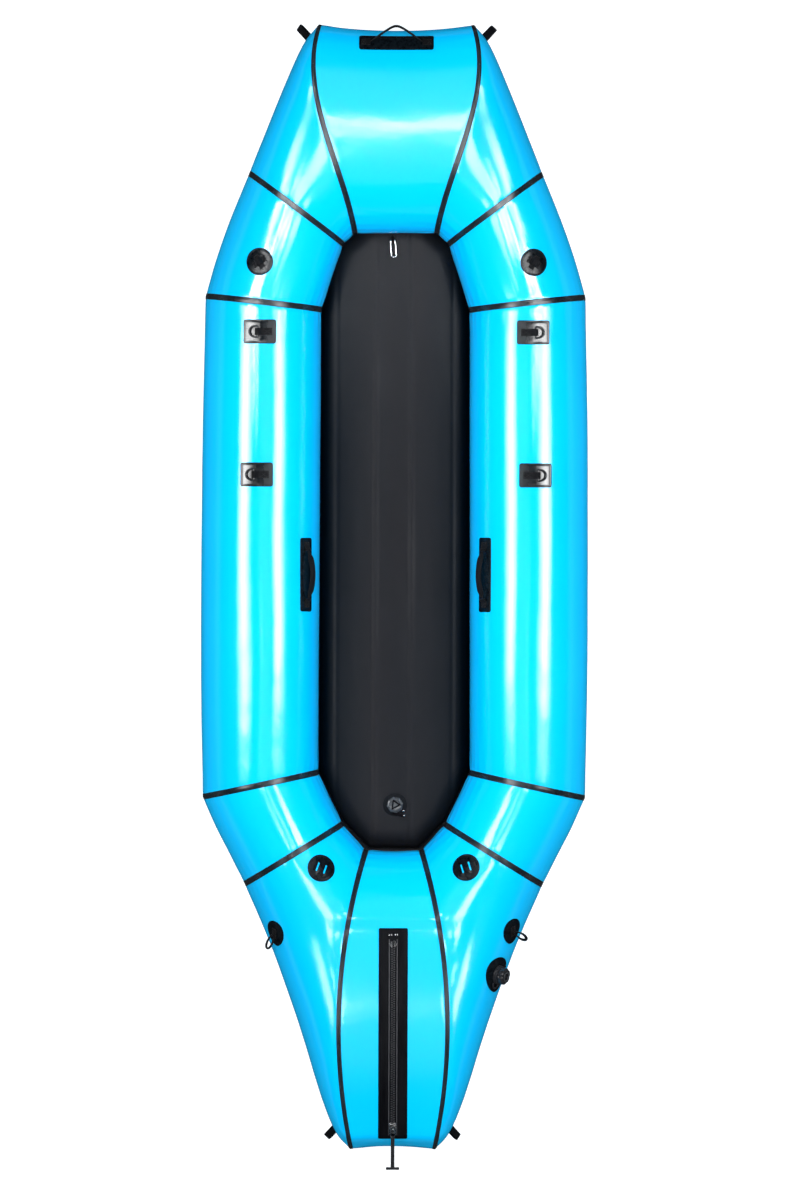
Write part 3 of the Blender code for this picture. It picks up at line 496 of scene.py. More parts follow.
    # the floor valve's flange: dull, near the mat's tone
    k = Finish("valve_flange_finish", (0.005, 0.006, 0.008), 0.6, specular=0.08)
    cl = k.cloud(k.object_space(), 220.0, 3.0)
    k.colour(k.mix(k.spread(cl, 0.0, 1.0), (0.0030, 0.0036, 0.0050), (0.0060, 0.0072, 0.0090)))
    k.rough(k.spread(cl, 0.5, 0.68))
    f["flange"] = k.m
    # the valves' caps: harder and glossier, moulded in flats; painted a lighter grey than the other black plastics, a
    # painted highlight for the light their flats catch
    k = Finish("valve_cap_finish", (0.016, 0.018, 0.021), 0.2, specular=0.6)
    cl = k.cloud(k.object_space(), 260.0, 4.0, 0.6)
    k.colour(k.mix(k.spread(cl, 0.0, 1.0), (0.028, 0.032, 0.036), (0.050, 0.056, 0.063)))
    k.rough(k.spread(cl, 0.16, 0.26))
    f["cap"] = k.m
    # metal: cast slider, and the darker gear ring
    for key, name, col, lo, hi in (("metal", "zip_metal_finish", (0.62, 0.63, 0.65), 0.18, 0.34), ("dark_metal", "zip_stop_finish", (0.22, 0.23, 0.24), 0.26, 0.42), ("bright_ring", "ring_metal_finish", (0.44, 0.46, 0.48), 0.12, 0.22)):
        k = Finish(name, col, 0.3, 1.0)
        cl = k.cloud(k.object_space((1, 6, 1)), 160.0, 5.0, 0.65)
        k.colour(k.mix(k.spread(cl, 0.0, 1.0), tuple(c * 0.72 for c in col), tuple(min(c * 1.12, 1) for c in col)))
        k.rough(k.spread(cl, lo, hi))
        k.bump(cl, 0.15, 0.0003)
        f[key] = k.m
    # zip: smooth sealed tape and moulded teeth
    k = Finish("zip_tape_finish", (0.006, 0.007, 0.009), 0.42, specular=0.05)
    cl = k.cloud(k.uv((40, 6, 1)), 1.0, 4.0, 0.6)
    k.colour(k.mix(k.spread(cl, 0.0, 1.0), (0.0010, 0.0012, 0.0020), (0.0050, 0.0055, 0.0070)))
    k.rough(k.spread(cl, 0.34, 0.52))
    k.bump(k.weave(0.0009), 0.2, 0.00012)
    f["zip_tape"] = k.m
    k = Finish("zip_teeth_finish", (0.045, 0.048, 0.054), 0.36, specular=0.3)
    cl = k.cloud(k.object_space(), 500.0, 3.0)
    k.colour(k.mix(k.spread(cl, 0.0, 1.0), (0.034, 0.037, 0.042), (0.066, 0.070, 0.078)))
    k.rough(k.spread(cl, 0.3, 0.45))
    f["zip_teeth"] = k.m
    return f


F = make_finishes()

# ---------------------------------------------------------------- tube skins
COLS = 144
THETA = 2 * np.pi * np.arange(COLS) / COLS


def wrapped_normals(g):
    du = np.roll(g, -1, axis=1) - np.roll(g, 1, axis=1)
    dv = np.gradient(g, axis=0)
    n = np.cross(du, dv)
    n /= np.maximum(np.linalg.norm(n, axis=2, keepdims=True), 1e-12)
    mid = g.mean(axis=1, keepdims=True)
    if ((g - mid) * n).sum() < 0:
        n = -n
    return n


def row_places(length):
    """Where the rows of a panel lie along it: close near the seams, wider between."""
    near = [0, 0.0025, 0.005, 0.0075, 0.0105, 0.014, 0.018, 0.0225, 0.028, 0.034, 0.041, 0.049, 0.058, 0.068, 0.080, 0.093]
    near = [d for d in near if d < length / 2 - 0.004]
    rest = length - 2 * near[-1]
    k = max(int(round(rest / 0.016)), 1)
    return np.array(near + [near[-1] + rest * i / k for i in range(1, k)] + [length - d for d in near[::-1]]) / length


def lumps(points, scale, seed):
    flat = points.reshape(-1, 3)
    return np.array([noise.noise(Vector((x * scale + seed, y * scale, z * scale))) for x, y, z in flat]).reshape(points.shape[:2])


skins, skin_normals = {}, {}
for index, (name, panel, spans, side) in enumerate(PANELS):
    probe = surface(panel, side, np.linspace(0, 1, 33), np.array([math.pi / 2]))[:, 0]
    ts = row_places(float(np.linalg.norm(np.diff(probe, axis=0), axis=1).sum()))
    g = surface(panel, side, ts, THETA)
    n = wrapped_normals(g)
    along = np.concatenate([np.zeros((1, COLS)), np.cumsum(np.linalg.norm(np.diff(g, axis=0), axis=2), axis=0)])
    far = along[-1] - along
    girth = TUBE_R * THETA[None, :]
    wander = lumps(g, 9.0, 3.1)
    inner = (0.5 + 0.5 * np.cos(THETA))[None, :]
    outer = (0.5 - 0.5 * np.cos(THETA))[None, :]
    amp = 0.00022 + 0.0011 * inner**6 + 0.00045 * outer**8
    d = 0.0007 * lumps(g, 5.0, 11.0) + 0.00025 * lumps(g, 16.0, 5.0)
    for dist, phase in ((along, 0.7 * index), (far, 0.7 * index + 2.1)):
        wave = np.sin(2 * np.pi * girth / 0.026 + 4.0 * wander + phase) + 0.5 * np.sin(2 * np.pi * girth / 0.0153 - 5.0 * wander + 2 * phase)
        d = d + amp * wave * (dist / 0.018) * np.exp(1 - dist / 0.018) * 0.7
        d = d - 0.0006 * np.exp(-((dist / 0.009) ** 2))
    # keep the two ends of every panel where its seam is
    hold = step(np.minimum(along, far) / 0.012)
    d = d * (0.35 + 0.65 * hold) - 0.0004 * (1 - hold)
    skins[name], skin_normals[name] = g + n * d[..., None], n
    uv = np.stack([np.broadcast_to(TUBE_R * 2 * np.pi * np.arange(COLS + 1) / COLS, (len(ts), COLS + 1)), np.broadcast_to((along.mean(axis=1) + index * 0.37)[:, None], (len(ts), COLS + 1))], -1)
    slab(name + "_skin", skins[name], skins[name] - n * 0.0012, uv, F["tube"], wrap=True, replaces=(name,), sharp=60)

hull = bvh([surface(p, s, np.arange(k + 1) / k, 2 * np.pi * np.arange(24) / 24) for _, p, k, s in PANELS])
fine = bvh([surface(p, s, np.arange(4 * k + 1) / (4 * k), 2 * np.pi * np.arange(96) / 96) for _, p, k, s in PANELS])
skin = bvh(list(skins.values()))

# ---------------------------------------------------------------- seam tapes
ACROSS = np.array([0, 0.0012, 0.0028, 0.0045, 0.0060, 0.0069, 0.0075])
LIFT = np.array([0.00115, 0.0011, 0.00105, 0.0010, 0.00092, 0.00078, 0.00045])


def beside(name, from_end):
    """Skin and normals at set distances from a panel's seam."""
    g, n = skins[name], skin_normals[name]
    if from_end:
        g, n = g[::-1], n[::-1]
    run = np.concatenate([np.zeros((1, COLS)), np.cumsum(np.linalg.norm(np.diff(g, axis=0), axis=2), axis=0)])
    p, q = np.empty((len(ACROSS), COLS, 3)), np.empty((len(ACROSS), COLS, 3))
    for c in range(COLS):
        for k in range(3):
            p[:, c, k] = np.interp(ACROSS, run[:, c], g[:, c, k])
            q[:, c, k] = np.interp(ACROSS, run[:, c], n[:, c, k])
    return p, q


for tape, (pa, ea), (pb, eb) in (
    ("bow_seam_tape", ("bow_centre_panel", None), ("bow_shoulder", False)),
    ("bow_diagonal_tape", ("bow_shoulder", True), ("bow_corner", False)),
    ("bow_cross_tape", ("bow_corner", True), ("side_tube", False)),
    ("stern_cross_tape", ("side_tube", True), ("stern_corner", False)),
    ("stern_diagonal_tape", ("stern_corner", True), ("stern_quarter", False)),
    ("stern_seam_tape", ("stern_quarter", True), ("stern_centre_panel", None)),
):
    for word in ("right", "left"):
        na = pa if ea is None else f"{pa}_{word}"
        nb = pb if eb is None else f"{pb}_{word}"
        a, qa = beside(na, (word == "left") if ea is None else ea)
        b, qb = beside(nb, (word == "left") if eb is None else eb)
        seam, qs = (a[:1] + b[:1]) / 2, (qa[:1] + qb[:1]) / 2
        p = np.concatenate([a[:0:-1], seam, b[1:]])
        q = np.concatenate([qa[:0:-1], qs, qb[1:]])
        lift = np.concatenate([LIFT[:0:-1], LIFT[:1], LIFT[1:]])[:, None, None]
        place = np.concatenate([-ACROSS[:0:-1], [0.0], ACROSS[1:]])
        ripple = 0.00012 * lumps(p, 60.0, 2.0)[..., None]
        uv = np.empty((len(place), COLS + 1, 2))
        uv[..., 0] = place[:, None]
        uv[..., 1] = (TUBE_R * 2 * np.pi * np.arange(COLS + 1) / COLS)[None, :]
        slab(f"{tape}_{word}_strip", p + q * (lift + ripple), p - q * 0.0003, uv, F["tape"], wrap=True, replaces=(f"{tape}_{word}",))


# ---------------------------------------------------------------- frames on the tube, as the CAD places them
def frame_from(p, normal, along):
    n = normal.normalized()
    v = Vector(along)
    v = (v - n * v.dot(n)).normalized()
    m = Matrix((v.cross(n), v, n)).transposed().to_4x4()
    m.translation = p
    return m


def frame_on(x, y, along=(0, 1, 0)):
    y += Y_SHIFT
    p, _, _, _ = hull.ray_cast(Vector((x, y, 1)), Vector((0, 0, -1)))
    acc = Vector()
    for dx, dy in ((0, 0), (0.012, 0), (-0.012, 0), (0, 0.012), (0, -0.012)):
        _, n, _, _ = fine.ray_cast(Vector((x + dx, y + dy, 1)), Vector((0, 0, -1)))
        acc += n if n.z > 0 else -n
    return frame_from(p, acc, along)


def on_skin(m, a, b, off):
    n = m.col[2].xyz
    p, _, _, _ = skin.ray_cast(m @ Vector((a, b, 0.06)), -n)
    return (p if p is not None else m @ Vector((a, b, 0))) + n * off


def height_on_skin(m, a, b):
    return (on_skin(m, a, b, 0.0) - m.translation).dot(m.col[2].xyz)


def places(h):
    edge = [0, 0.0008, 0.0018, 0.0030, 0.0038, 0.0046, 0.0060]
    edge = [e for e in edge if e < h * 0.6]
    k = max(int(round((2 * h - 2 * edge[-1]) / 0.004)), 2)
    w = 2 * h - 2 * edge[-1]
    return [-h + e for e in edge] + [-h + edge[-1] + w * i / k for i in range(1, k)] + [h - e for e in edge[::-1]]


def edge_lift(e, thick):
    """Height of a welded patch at distance e from its border: thin lip, pressed line, full body."""
    return thick * (0.35 + 0.65 * float(step(e / 0.0014))) - 0.00035 * math.exp(-(((e - 0.0038) / 0.0007) ** 2))


def rect_patch(name, m, hu, hv, radius=0.004, thick=0.0011, replaces=(), mat="patch", extra=None):
    us, vs = places(hu), places(hv)
    top, bot = np.empty((len(vs), len(us), 3)), np.empty((len(vs), len(us), 3))
    uv = np.empty((len(vs), len(us), 2))
    n = m.col[2].xyz
    for j, v in enumerate(vs):
        for i, u in enumerate(us):
            du, dv = abs(u) - (hu - radius), abs(v) - (hv - radius)
            e = min(hu - abs(u), hv - abs(v))
            a, b = u, v
            if du > 0 and dv > 0:
                k = max(du, dv) / math.hypot(du, dv)
                a = math.copysign(hu - radius + du * k, u)
                b = math.copysign(hv - radius + dv * k, v)
                e = radius - max(du, dv)
            h = edge_lift(e, thick) + (extra(a, b) if extra else 0.0)
            p = on_skin(m, a, b, 0.0)
            top[j, i], bot[j, i] = p + n * (0.0003 + h), p - n * 0.0002
            uv[j, i] = (a, b)
    return slab(name, top, bot, uv, F[mat], replaces=replaces)


def disc_patch(name, m, radius, thick=0.0011, segs=72, replaces=(), extra=None, body="raft"):
    rs = [0.0003, 0.004, 0.008, 0.012, 0.016, 0.020, 0.024, 0.027]
    rs = [r for r in rs if r < radius - 0.0075] + [radius - e for e in (0.0060, 0.0046, 0.0038, 0.0030, 0.0018, 0.0008, 0)]
    top, bot = np.empty((len(rs), segs, 3)), np.empty((len(rs), segs, 3))
    uv = np.empty((len(rs), segs + 1, 2))
    n = m.col[2].xyz
    for j, r in enumerate(rs):
        for s in range(segs + 1):
            a = 2 * math.pi * s / segs
            x, y = r * math.cos(a), r * math.sin(a)
            uv[j, s] = (x, y)
            if s < segs:
                h = edge_lift(radius - r, thick) + (extra(x, y) if extra else 0.0)
                p = on_skin(m, x, y, 0.0)
                top[j, s], bot[j, s] = p + n * (0.0003 + h), p - n * 0.0002
    return slab(name, top, bot, uv, F["patch"], body, wrap=True, replaces=replaces)


def patch_edge(name, m, outline, half_w=0.0011):
    """The pressed border of a patch, along its outline in u, v."""
    pts = resample([Vector(q) for q in outline], 96, True)
    n, loops = m.col[2].xyz, []
    for i, q in enumerate(pts):
        d = (pts[(i + 1) % 96] - pts[i - 1]).normalized()
        w = Vector((-d.y, d.x))
        loops.append([on_skin(m, *(q + w * a), 0.00075) + n * b for a, b in oval(half_w, 0.00035, 10)])
    return tube(name, loops, F["edge"], closed=True)


def round_box(hu, hv, r):
    pts = []
    for cu, cv, a0 in ((1, 1, 0), (-1, 1, 90), (-1, -1, 180), (1, -1, 270)):
        for k in range(6):
            a = math.radians(a0 + 90 * k / 5)
            pts.append((cu * (hu - r) + r * math.cos(a), cv * (hv - r) + r * math.sin(a)))
    return pts


def circle(r):
    return [(r * math.cos(2 * math.pi * k / 72), r * math.sin(2 * math.pi * k / 72)) for k in range(72)]


def stitches(name, lines, body="raft", length=0.0022, gap=0.0012, radius=0.00030):
    """Rows of thread: each line is a list of (point, normal)."""
    verts, faces = [], []
    for line in lines:
        pts = [Vector(p) for p, _ in line]
        nrm = [Vector(n) for _, n in line]
        run = [0.0]
        for a, b in zip(pts, pts[1:]):
            run.append(run[-1] + (b - a).length)

        def at(s):
            i = max(0, min(len(run) - 2, sum(1 for r in run[1:-1] if r <= s)))
            f = (s - run[i]) / max(run[i + 1] - run[i], 1e-9)
            return pts[i].lerp(pts[i + 1], f), nrm[i].lerp(nrm[i + 1], f).normalized()

        count = max(int(run[-1] / (length + gap)), 1)
        for c in range(count):
            s0 = (c + 0.5) * run[-1] / count - length / 2
            base = len(verts)
            for k, (f, r, h) in enumerate(((0, 0.45, -0.6), (0.18, 0.9, 0.35), (0.5, 1.0, 0.7), (0.82, 0.9, 0.35), (1, 0.45, -0.6))):
                p, n = at(s0 + f * length)
                q, _ = at(s0 + f * length + 0.0002)
                d = (q - p).normalized()
                w = d.cross(n).normalized()
                for e in range(6):
                    a = math.pi * 2 * e / 6
                    verts.append(p + n * (h * radius + r * radius * math.sin(a)) + w * (r * radius * math.cos(a)))
            for k in range(4):
                for e in range(6):
                    g = (e + 1) % 6
                    faces.append((base + k * 6 + e, base + k * 6 + g, base + (k + 1) * 6 + g, base + (k + 1) * 6 + e))
            faces.append(tuple(base + e for e in range(6)))
            faces.append(tuple(base + 24 + e for e in range(6)))
    return finish_mesh(name, verts, faces, None, F["thread"], body)


def box_lines(m, u0, u1, v0, v1, height, cross=False):
    """The corners of a sewn box, with or without its cross; height is a number or a function of u, v."""
    h = height if callable(height) else (lambda u, v: height)
    n = m.col[2].xyz

    def run(a, b):
        return [(m @ Vector((a[0] + (b[0] - a[0]) * i / 8, a[1] + (b[1] - a[1]) * i / 8, h(a[0] + (b[0] - a[0]) * i / 8, a[1] + (b[1] - a[1]) * i / 8))), n) for i in range(9)]

    c = [(u0, v0), (u1, v0), (u1, v1), (u0, v1)]
    lines = [run(c[i], c[(i + 1) % 4]) for i in range(4)]
    if cross:
        lines += [run(c[0], c[2]), run(c[1], c[3])]
    return lines


# ---------------------------------------------------------------- lashing rings
RING_WIRE = 0.0025
RING_H = TOP + 0.0007 + RING_WIRE + 0.0006


def d_path(half, depth, h, arc=24):
    pts = [(0, -half, h), (0, -half / 2, h), (0, 0, h), (0, half / 2, h), (0, half, h)]
    for i in range(1, arc):
        a = math.pi / 2 - math.pi * i / arc
        pts.append((depth * math.cos(a) ** 0.8, half * math.sin(a), h))
    return pts


for name, x, y in (("front_left", -0.3390, 0.665), ("front_right", 0.3450, 0.665), ("mid_left", -0.3460, 0.3075), ("mid_right", 0.3515, 0.3075)):
    side = 1 if x > 0 else -1
    m = frame_on(x, y, (0, side, 0))
    rect_patch(f"ring_patch_{name}_sheet", m, 0.0405, 0.0298, 0.0045, 0.0012, replaces=(f"ring_patch_{name}",), mat="slick")
    patch_edge(f"ring_patch_{name}_edge", m, round_box(0.0397, 0.0290, 0.0038))
    h = RING_H
    s0 = max(height_on_skin(m, a, b) for a in (-0.028, -0.015) for b in (-0.009, 0.009)) + 0.0016
    path = [(-0.0310, 0, s0 + 0.0008), (-0.0200, 0, s0 + 0.0009), (-0.0040, 0, s0 + 0.0012), (0.0006, 0, h + 0.0026), (0.0040, 0, h + 0.0041), (0.0080, 0, h + 0.0041), (0.0108, 0, h + 0.0020), (0.0118, 0, s0 + 0.0006), (0.0112, 0, s0 - 0.0016)]
    strap(f"ring_keeper_{name}", m, path, 0.0090, 0.00075, F["webbing"])
    lower = [(-0.0310, 0, s0 - 0.0006), (-0.0060, 0, s0 - 0.0006), (0.0010, 0, s0 - 0.0002)]
    strap(f"ring_keeper_under_{name}", m, lower, 0.0090, 0.0007, F["webbing"], steps=20)
    stitches(f"ring_thread_{name}", box_lines(m, -0.0285, -0.0075, -0.0070, 0.0070, s0 + 0.0017, True), length=0.0021)
    mr = m @ Matrix.Translation(Vector((0.006, 0, 0)))
    wire(f"lash_ring_{name}_wire", mr, d_path(0.0140, 0.0200, h), RING_WIRE, F["ring"], f"ring_{name}", replaces=(f"lash_ring_{name}",))


# ---------------------------------------------------------------- round lash patches
def arch(half_gap, height, foot, base, steps=12):
    path = [(-half_gap - foot, 0, base), (-half_gap - 0.004, 0, base), (-half_gap - 0.0008, 0, base + 0.0010)]
    for i in range(steps + 1):
        a = math.pi - math.pi * i / steps
        path.append((half_gap * math.cos(a), 0, base + (height - half_gap) + half_gap * math.sin(a)))
    return path + [(half_gap + 0.0008, 0, base + 0.0010), (half_gap + 0.004, 0, base), (half_gap + foot, 0, base)]


def boss(a, b):
    return 0.0006 * math.exp(-((math.hypot(a, b) / 0.019) ** 8))


for side, word, x in ((1, "right", 0.3455), (-1, "left", 0.3405)):
    m = frame_on(x * side, 0.840, (0.55 * side, 0.84, 0))
    name = f"bow_lash_patch_{word}"
    disc_patch(f"{name}_disc", m, 0.0342, replaces=(name,), extra=boss)
    patch_edge(f"{name}_edge", m, circle(0.0334))
    base = max(height_on_skin(m, a, b) for a in (-0.016, 0, 0.016) for b in (-0.009, 0, 0.009)) + 0.0026
    strap(f"{name}_loop", m, arch(0.0085, 0.0150, 0.0095, base), 0.0088, 0.00075, F["webbing"], steps=80)
    cross = [(0, -0.0185, base - 0.0006), (0, -0.008, base - 0.0002), (0, 0.008, base - 0.0002), (0, 0.0185, base - 0.0006)]
    strap(f"{name}_cross", m, cross, 0.0075, 0.0006, F["webbing"], steps=16, across=(1, 0, 0))
    lines = []
    for k in (-1, 1):
        lines += box_lines(m, *sorted((k * 0.0115, k * 0.0170)), -0.0068, 0.0068, base + 0.0008)
        lines += box_lines(m, -0.0055, 0.0055, *sorted((k * 0.0105, k * 0.0170)), base + 0.0002)
    stitches(f"{name}_thread", lines)

# the stern's tall loops are turned on edge and lean aft, the left one until it lies down
LOOP = [(-0.0012, -0.0004), (-0.0040, 0.0080), (-0.0064, 0.0190), (-0.0066, 0.0280), (-0.0050, 0.0350), (-0.0022, 0.0397)]
LOOP += [(-a, b) for a, b in LOOP[::-1]]
for side, word, x, y, lean, turn in ((1, "right", 0.2975, -0.8325, 13, 37), (-1, "left", 0.2965, -0.8400, 62, 43)):
    m = frame_on(x * side, y, (1, 0, 0))
    name = f"stern_lash_patch_{word}"
    disc_patch(f"{name}_disc", m, 0.0325, replaces=(name,), extra=boss)
    patch_edge(f"{name}_edge", m, circle(0.0317))
    base = max(height_on_skin(m, a, b) for a in (-0.012, 0, 0.012) for b in (-0.009, 0, 0.009)) + 0.0022
    strap(f"{name}_pad", m, [(-0.0135, 0, base), (0, 0, base), (0.0135, 0, base)], 0.0090, 0.0007, F["webbing"], steps=12)
    stitches(f"{name}_thread", box_lines(m, -0.0115, 0.0115, -0.0070, 0.0070, base + 0.0008, True))
    ml = m @ Matrix.Translation(Vector((0, 0, TOP + 0.0018))) @ Matrix.Rotation(math.radians(lean), 4, "Y") @ Matrix.Rotation(math.radians(-side * turn), 4, "Z")
    strap(f"{name}_loop", ml, [(a, 0, b) for a, b in LOOP], 0.0045, 0.0015, F["webbing"], steps=90, twist=0.55 * side)


# ---------------------------------------------------------------- slotted patches behind the cockpit
def cut_slots(ob, m, slots):
    for a, hw, hl in slots:
        bm = bmesh.new()
        n = 10
        ring = [(a + hw * math.cos(t), (hl if math.sin(t) >= 0 else -hl) + hw * math.sin(t)) for t in (2 * math.pi * k / n + 0.01 for k in range(n))]
        low = [bm.verts.new(m @ Vector((p[0], p[1], -0.004))) for p in ring]
        high = [bm.verts.new(m @ Vector((p[0], p[1], 0.010))) for p in ring]
        bm.faces.new(low[::-1])
        bm.faces.new(high)
        for k in range(n):
            bm.faces.new((low[k], low[(k + 1) % n], high[(k + 1) % n], high[k]))
        bmesh.ops.recalc_face_normals(bm, faces=bm.faces)
        cutter_mesh = bpy.data.meshes.new("cutter")
        bm.to_mesh(cutter_mesh)
        bm.free()
        cutter = bpy.data.objects.new("cutter", cutter_mesh)
        bpy.context.scene.collection.objects.link(cutter)
        mod = ob.modifiers.new("slot", "BOOLEAN")
        mod.operation, mod.object, mod.solver = "DIFFERENCE", cutter, "EXACT"
        bpy.context.view_layer.update()
        made = bpy.data.meshes.new_from_object(ob.evaluated_get(bpy.context.evaluated_depsgraph_get()))
        ob.modifiers.clear()
        ob.data = made
        bpy.data.objects.remove(cutter)


for side, word, x, y in ((1, "right", 0.1810, -0.6730), (-1, "left", 0.1808, -0.6760)):
    m = frame_on(x * side, y, (-0.38 * side, 1, 0))

    def rim(a, b):
        near = min(max(abs(a - c) - 0.0022, 0.0) + max(abs(b) - 0.0115, 0.0) for c in (-0.0100, 0.0100))
        return 0.0005 * math.exp(-((near / 0.003) ** 2))

    patch_edge(f"slot_patch_{word}_edge", m, circle(0.0337))
    ob = disc_patch(f"slot_patch_{word}_disc", m, 0.0345, segs=96, replaces=(f"slot_patch_{word}",), extra=rim)
    cut_slots(ob, m, ((-0.0100, 0.0023, 0.0096), (0.0100, 0.0023, 0.0096)))


# ---------------------------------------------------------------- carrying handles
def handle_set(name, body, m, hu, hv, span, high, peak, lean):
    rect_patch(f"{name}_patch_sheet", m, hu, hv, 0.005, 0.0012, replaces=(f"{name}_patch",))
    patch_edge(f"{name}_patch_edge", m, round_box(hu - 0.0008, hv - 0.0008, 0.0042))
    lines = []
    for k in (-1, 1):
        ends = [k * (span + 0.0012), k * (span + 0.0250)]
        seat = max(height_on_skin(m, a, v) for a in (-0.009, 0, 0.009) for v in ends) + 0.0017
        v0, v1 = k * (span + 0.0014), k * (span + 0.0245)
        top = max(TOP + 0.0062, seat + 0.0016)
        path = [(0, v0, top), (0, v0 + k * 0.004, top - 0.0004), (0, v0 + k * 0.009, seat + 0.0016), (0, v0 + k * 0.016, seat + 0.0010), (0, v1, seat + 0.0008)]
        strap(f"{name}_end_{'fore' if k > 0 else 'aft'}", m, path, 0.0088, 0.0009, F["webbing"], steps=30, across=(1, 0, 0))
        path = [(0, v0, TOP + 0.0032), (0, v0 + k * 0.004, TOP + 0.0026), (0, v0 + k * 0.009, seat - 0.0004), (0, v1, seat - 0.0006)]
        strap(f"{name}_end_under_{'fore' if k > 0 else 'aft'}", m, path, 0.0086, 0.0009, F["webbing"], steps=20, across=(1, 0, 0))
        lines += box_lines(m, -0.0066, 0.0066, *sorted((v0 + k * 0.010, v1 - k * 0.0016)), lambda u, v, s=seat: s + 0.0019, True)
    stitches(f"{name}_thread", lines)
    m = m @ Matrix.Translation(Vector((0, 0, TOP + 0.0058))) @ Matrix.Rotation(math.radians(-lean), 4, "Y") @ Matrix.Translation(Vector((0, 0, -TOP - 0.0058)))
    loops, steps = [], 64
    reach = math.hypot(1, peak) - peak
    for i in range(steps + 1):
        q = -1 + 2 * i / steps
        lift = (math.hypot(1, peak) - math.hypot(q, peak)) / reach
        half_w = 0.0030 + 0.0056 * min(1.0, 2.2 * lift) - 0.0010 * math.exp(-((q / 0.45) ** 4))
        c = Vector((0, span * q, TOP + 0.0058 + high * lift))
        slope = Vector((0, 1, -high * q / math.hypot(q, peak) / reach / span)).normalized()
        nn = Vector((1, 0, 0)).cross(slope)
        cup = 0.0010 * math.exp(-((q / 0.5) ** 2))
        loops.append([m @ (c + Vector((a, 0, 0)) + nn * (b - cup * (a / max(half_w, 1e-6)) ** 2)) for a, b in oval(half_w, 0.0010 + 0.0004 * math.exp(-((q / 0.5) ** 4)), 20)])
    tube(f"{name}_grip_strap", loops, F["webbing"], body, replaces=(f"{name}_grip",))


handle_set("side_handle_left", "left_grip", frame_on(-0.2215, 0.0575), 0.0220, 0.0920, 0.058, 0.019, 0.9, 15.0)
handle_set("side_handle_right", "right_grip", frame_on(0.2255, 0.0585), 0.0220, 0.0930, 0.058, 0.019, 0.9, -15.0)
handle_set("bow_handle", "bow_grip", frame_on(0.0, 1.3850, (1, 0, 0)), 0.0200, 0.0930, 0.064, 0.041, 0.22, 40.0)

# ---------------------------------------------------------------- loops at the ends of the boat
for name, panel, t in (("bow_loop", "CB", 0.10), ("stern_loop", "EF", 0.86)):
    for side, word in ((1, "right"), (-1, "left")):
        th = math.radians(200)
        p, p1 = (Vector(surface(panel, side, [q], np.array([th]))[0, 0]) for q in (t, t + 0.01))
        p2 = Vector(surface(panel, side, [t], np.array([th + 0.02]))[0, 0])
        n = (p1 - p).cross(p2 - p).normalized()
        if n.x * side < 0:
            n = -n
        m = frame_from(p, n, p1 - p)
        strap(f"{name}_{word}_strap", m, arch(0.0065, 0.046, 0.010, 0.0030), 0.0088, 0.0010, F["webbing"], replaces=(f"{name}_{word}",), steps=90, twist=0.12 * side)
        rect_patch(f"{name}_{word}_base", m, 0.0220, 0.0150, 0.003, 0.0010)
        lines = []
        for k in (-1, 1):
            lines += box_lines(m, *sorted((k * 0.0100, k * 0.0160)), -0.0068, 0.0068, 0.0042)
        stitches(f"{name}_{word}_thread", lines)

# ---------------------------------------------------------------- main inflation valve
m = frame_on(0.2608, -0.9410)
disc_patch("main_valve_flange", m, 0.0445, 0.0014, 96, extra=lambda a, b: 0.0010 * float(step((0.0300 - math.hypot(a, b)) / 0.006)))
patch_edge("main_valve_flange_edge", m, circle(0.0437))
turned(
    "main_valve_body", m,
    eased([(0, TOP - 0.0016), (0.0240, TOP - 0.0016), (0.0240, TOP + 0.0016), (0.0216, TOP + 0.0024), (0.0216, TOP + 0.0060), (0.0226, TOP + 0.0066), (0.0226, TOP + 0.0080), (0.0208, TOP + 0.0087), (0, TOP + 0.0087)]),
    F["plastic"], replaces=("main_valve_base",), segs=96,
    shape=lambda a, r, h: 1.0 + (0.022 * (0.5 + 0.5 * math.cos(24 * a)) if 0.021 < r < 0.0223 and h < TOP + 0.0061 else 0.0),
)
cap_h = TOP + 0.0085 + 0.0006
turned(
    "main_valve_cap_lid", m,
    eased([(0, cap_h), (0.0200, cap_h), (0.0214, cap_h + 0.0012), (0.0216, cap_h + 0.0060), (0.0210, cap_h + 0.0112), (0.0180, cap_h + 0.0140), (0.0150, cap_h + 0.0144), (0.0142, cap_h + 0.0150), (0.0100, cap_h + 0.0150), (0.0092, cap_h + 0.0118), (0.0046, cap_h + 0.0112), (0.0038, cap_h + 0.0132), (0, cap_h + 0.0134)], 0.0008),
    F["ring"], "valve_cap", ("main_valve_cap",), 120,
    shape=lambda a, r, h: 1.0 - (0.10 * max(0.0, math.cos(6 * a)) ** 2 if r > 0.0165 else 0.07 * (0.5 - 0.5 * math.cos(6 * a)) if r > 0.008 else 0.0) * float(step((h - cap_h - 0.0015) / 0.002)),
)
hexagon = [(0.0118 * math.cos(math.radians(d)), 0.0118 * math.sin(math.radians(d)), 0.0) for d in (20, 80, 140, 200, 260, 320)]
top_rim = [Vector(q) for q in hexagon]
top_rim = resample([top_rim[i].lerp(top_rim[(i + 1) % 6], q) for i in range(6) for q in (0.08, 0.92)], 96, True)
loops = []
for i, q in enumerate(top_rim):
    out = q.normalized()
    loops.append([m @ (Vector((q.x, q.y, cap_h + 0.0146)) + out * a + Vector((0, 0, b))) for a, b in oval(0.0017, 0.0010, 12)])
tube("main_valve_cap_rim", loops, F["cap"], "valve_cap", closed=True)
tether = [(-0.0180, -0.0200, TOP + 0.0012), (-0.0205, -0.0255, TOP + 0.0022), (-0.0190, -0.0310, TOP + 0.0024), (-0.0110, -0.0345, TOP + 0.0022), (-0.0020, -0.0330, TOP + 0.0020), (0.0060, -0.0250, TOP + 0.0018)]
strap("main_valve_tether", m, tether, 0.0022, 0.0008, F["plastic"], steps=40, across=(0.5, 0.4, 0))

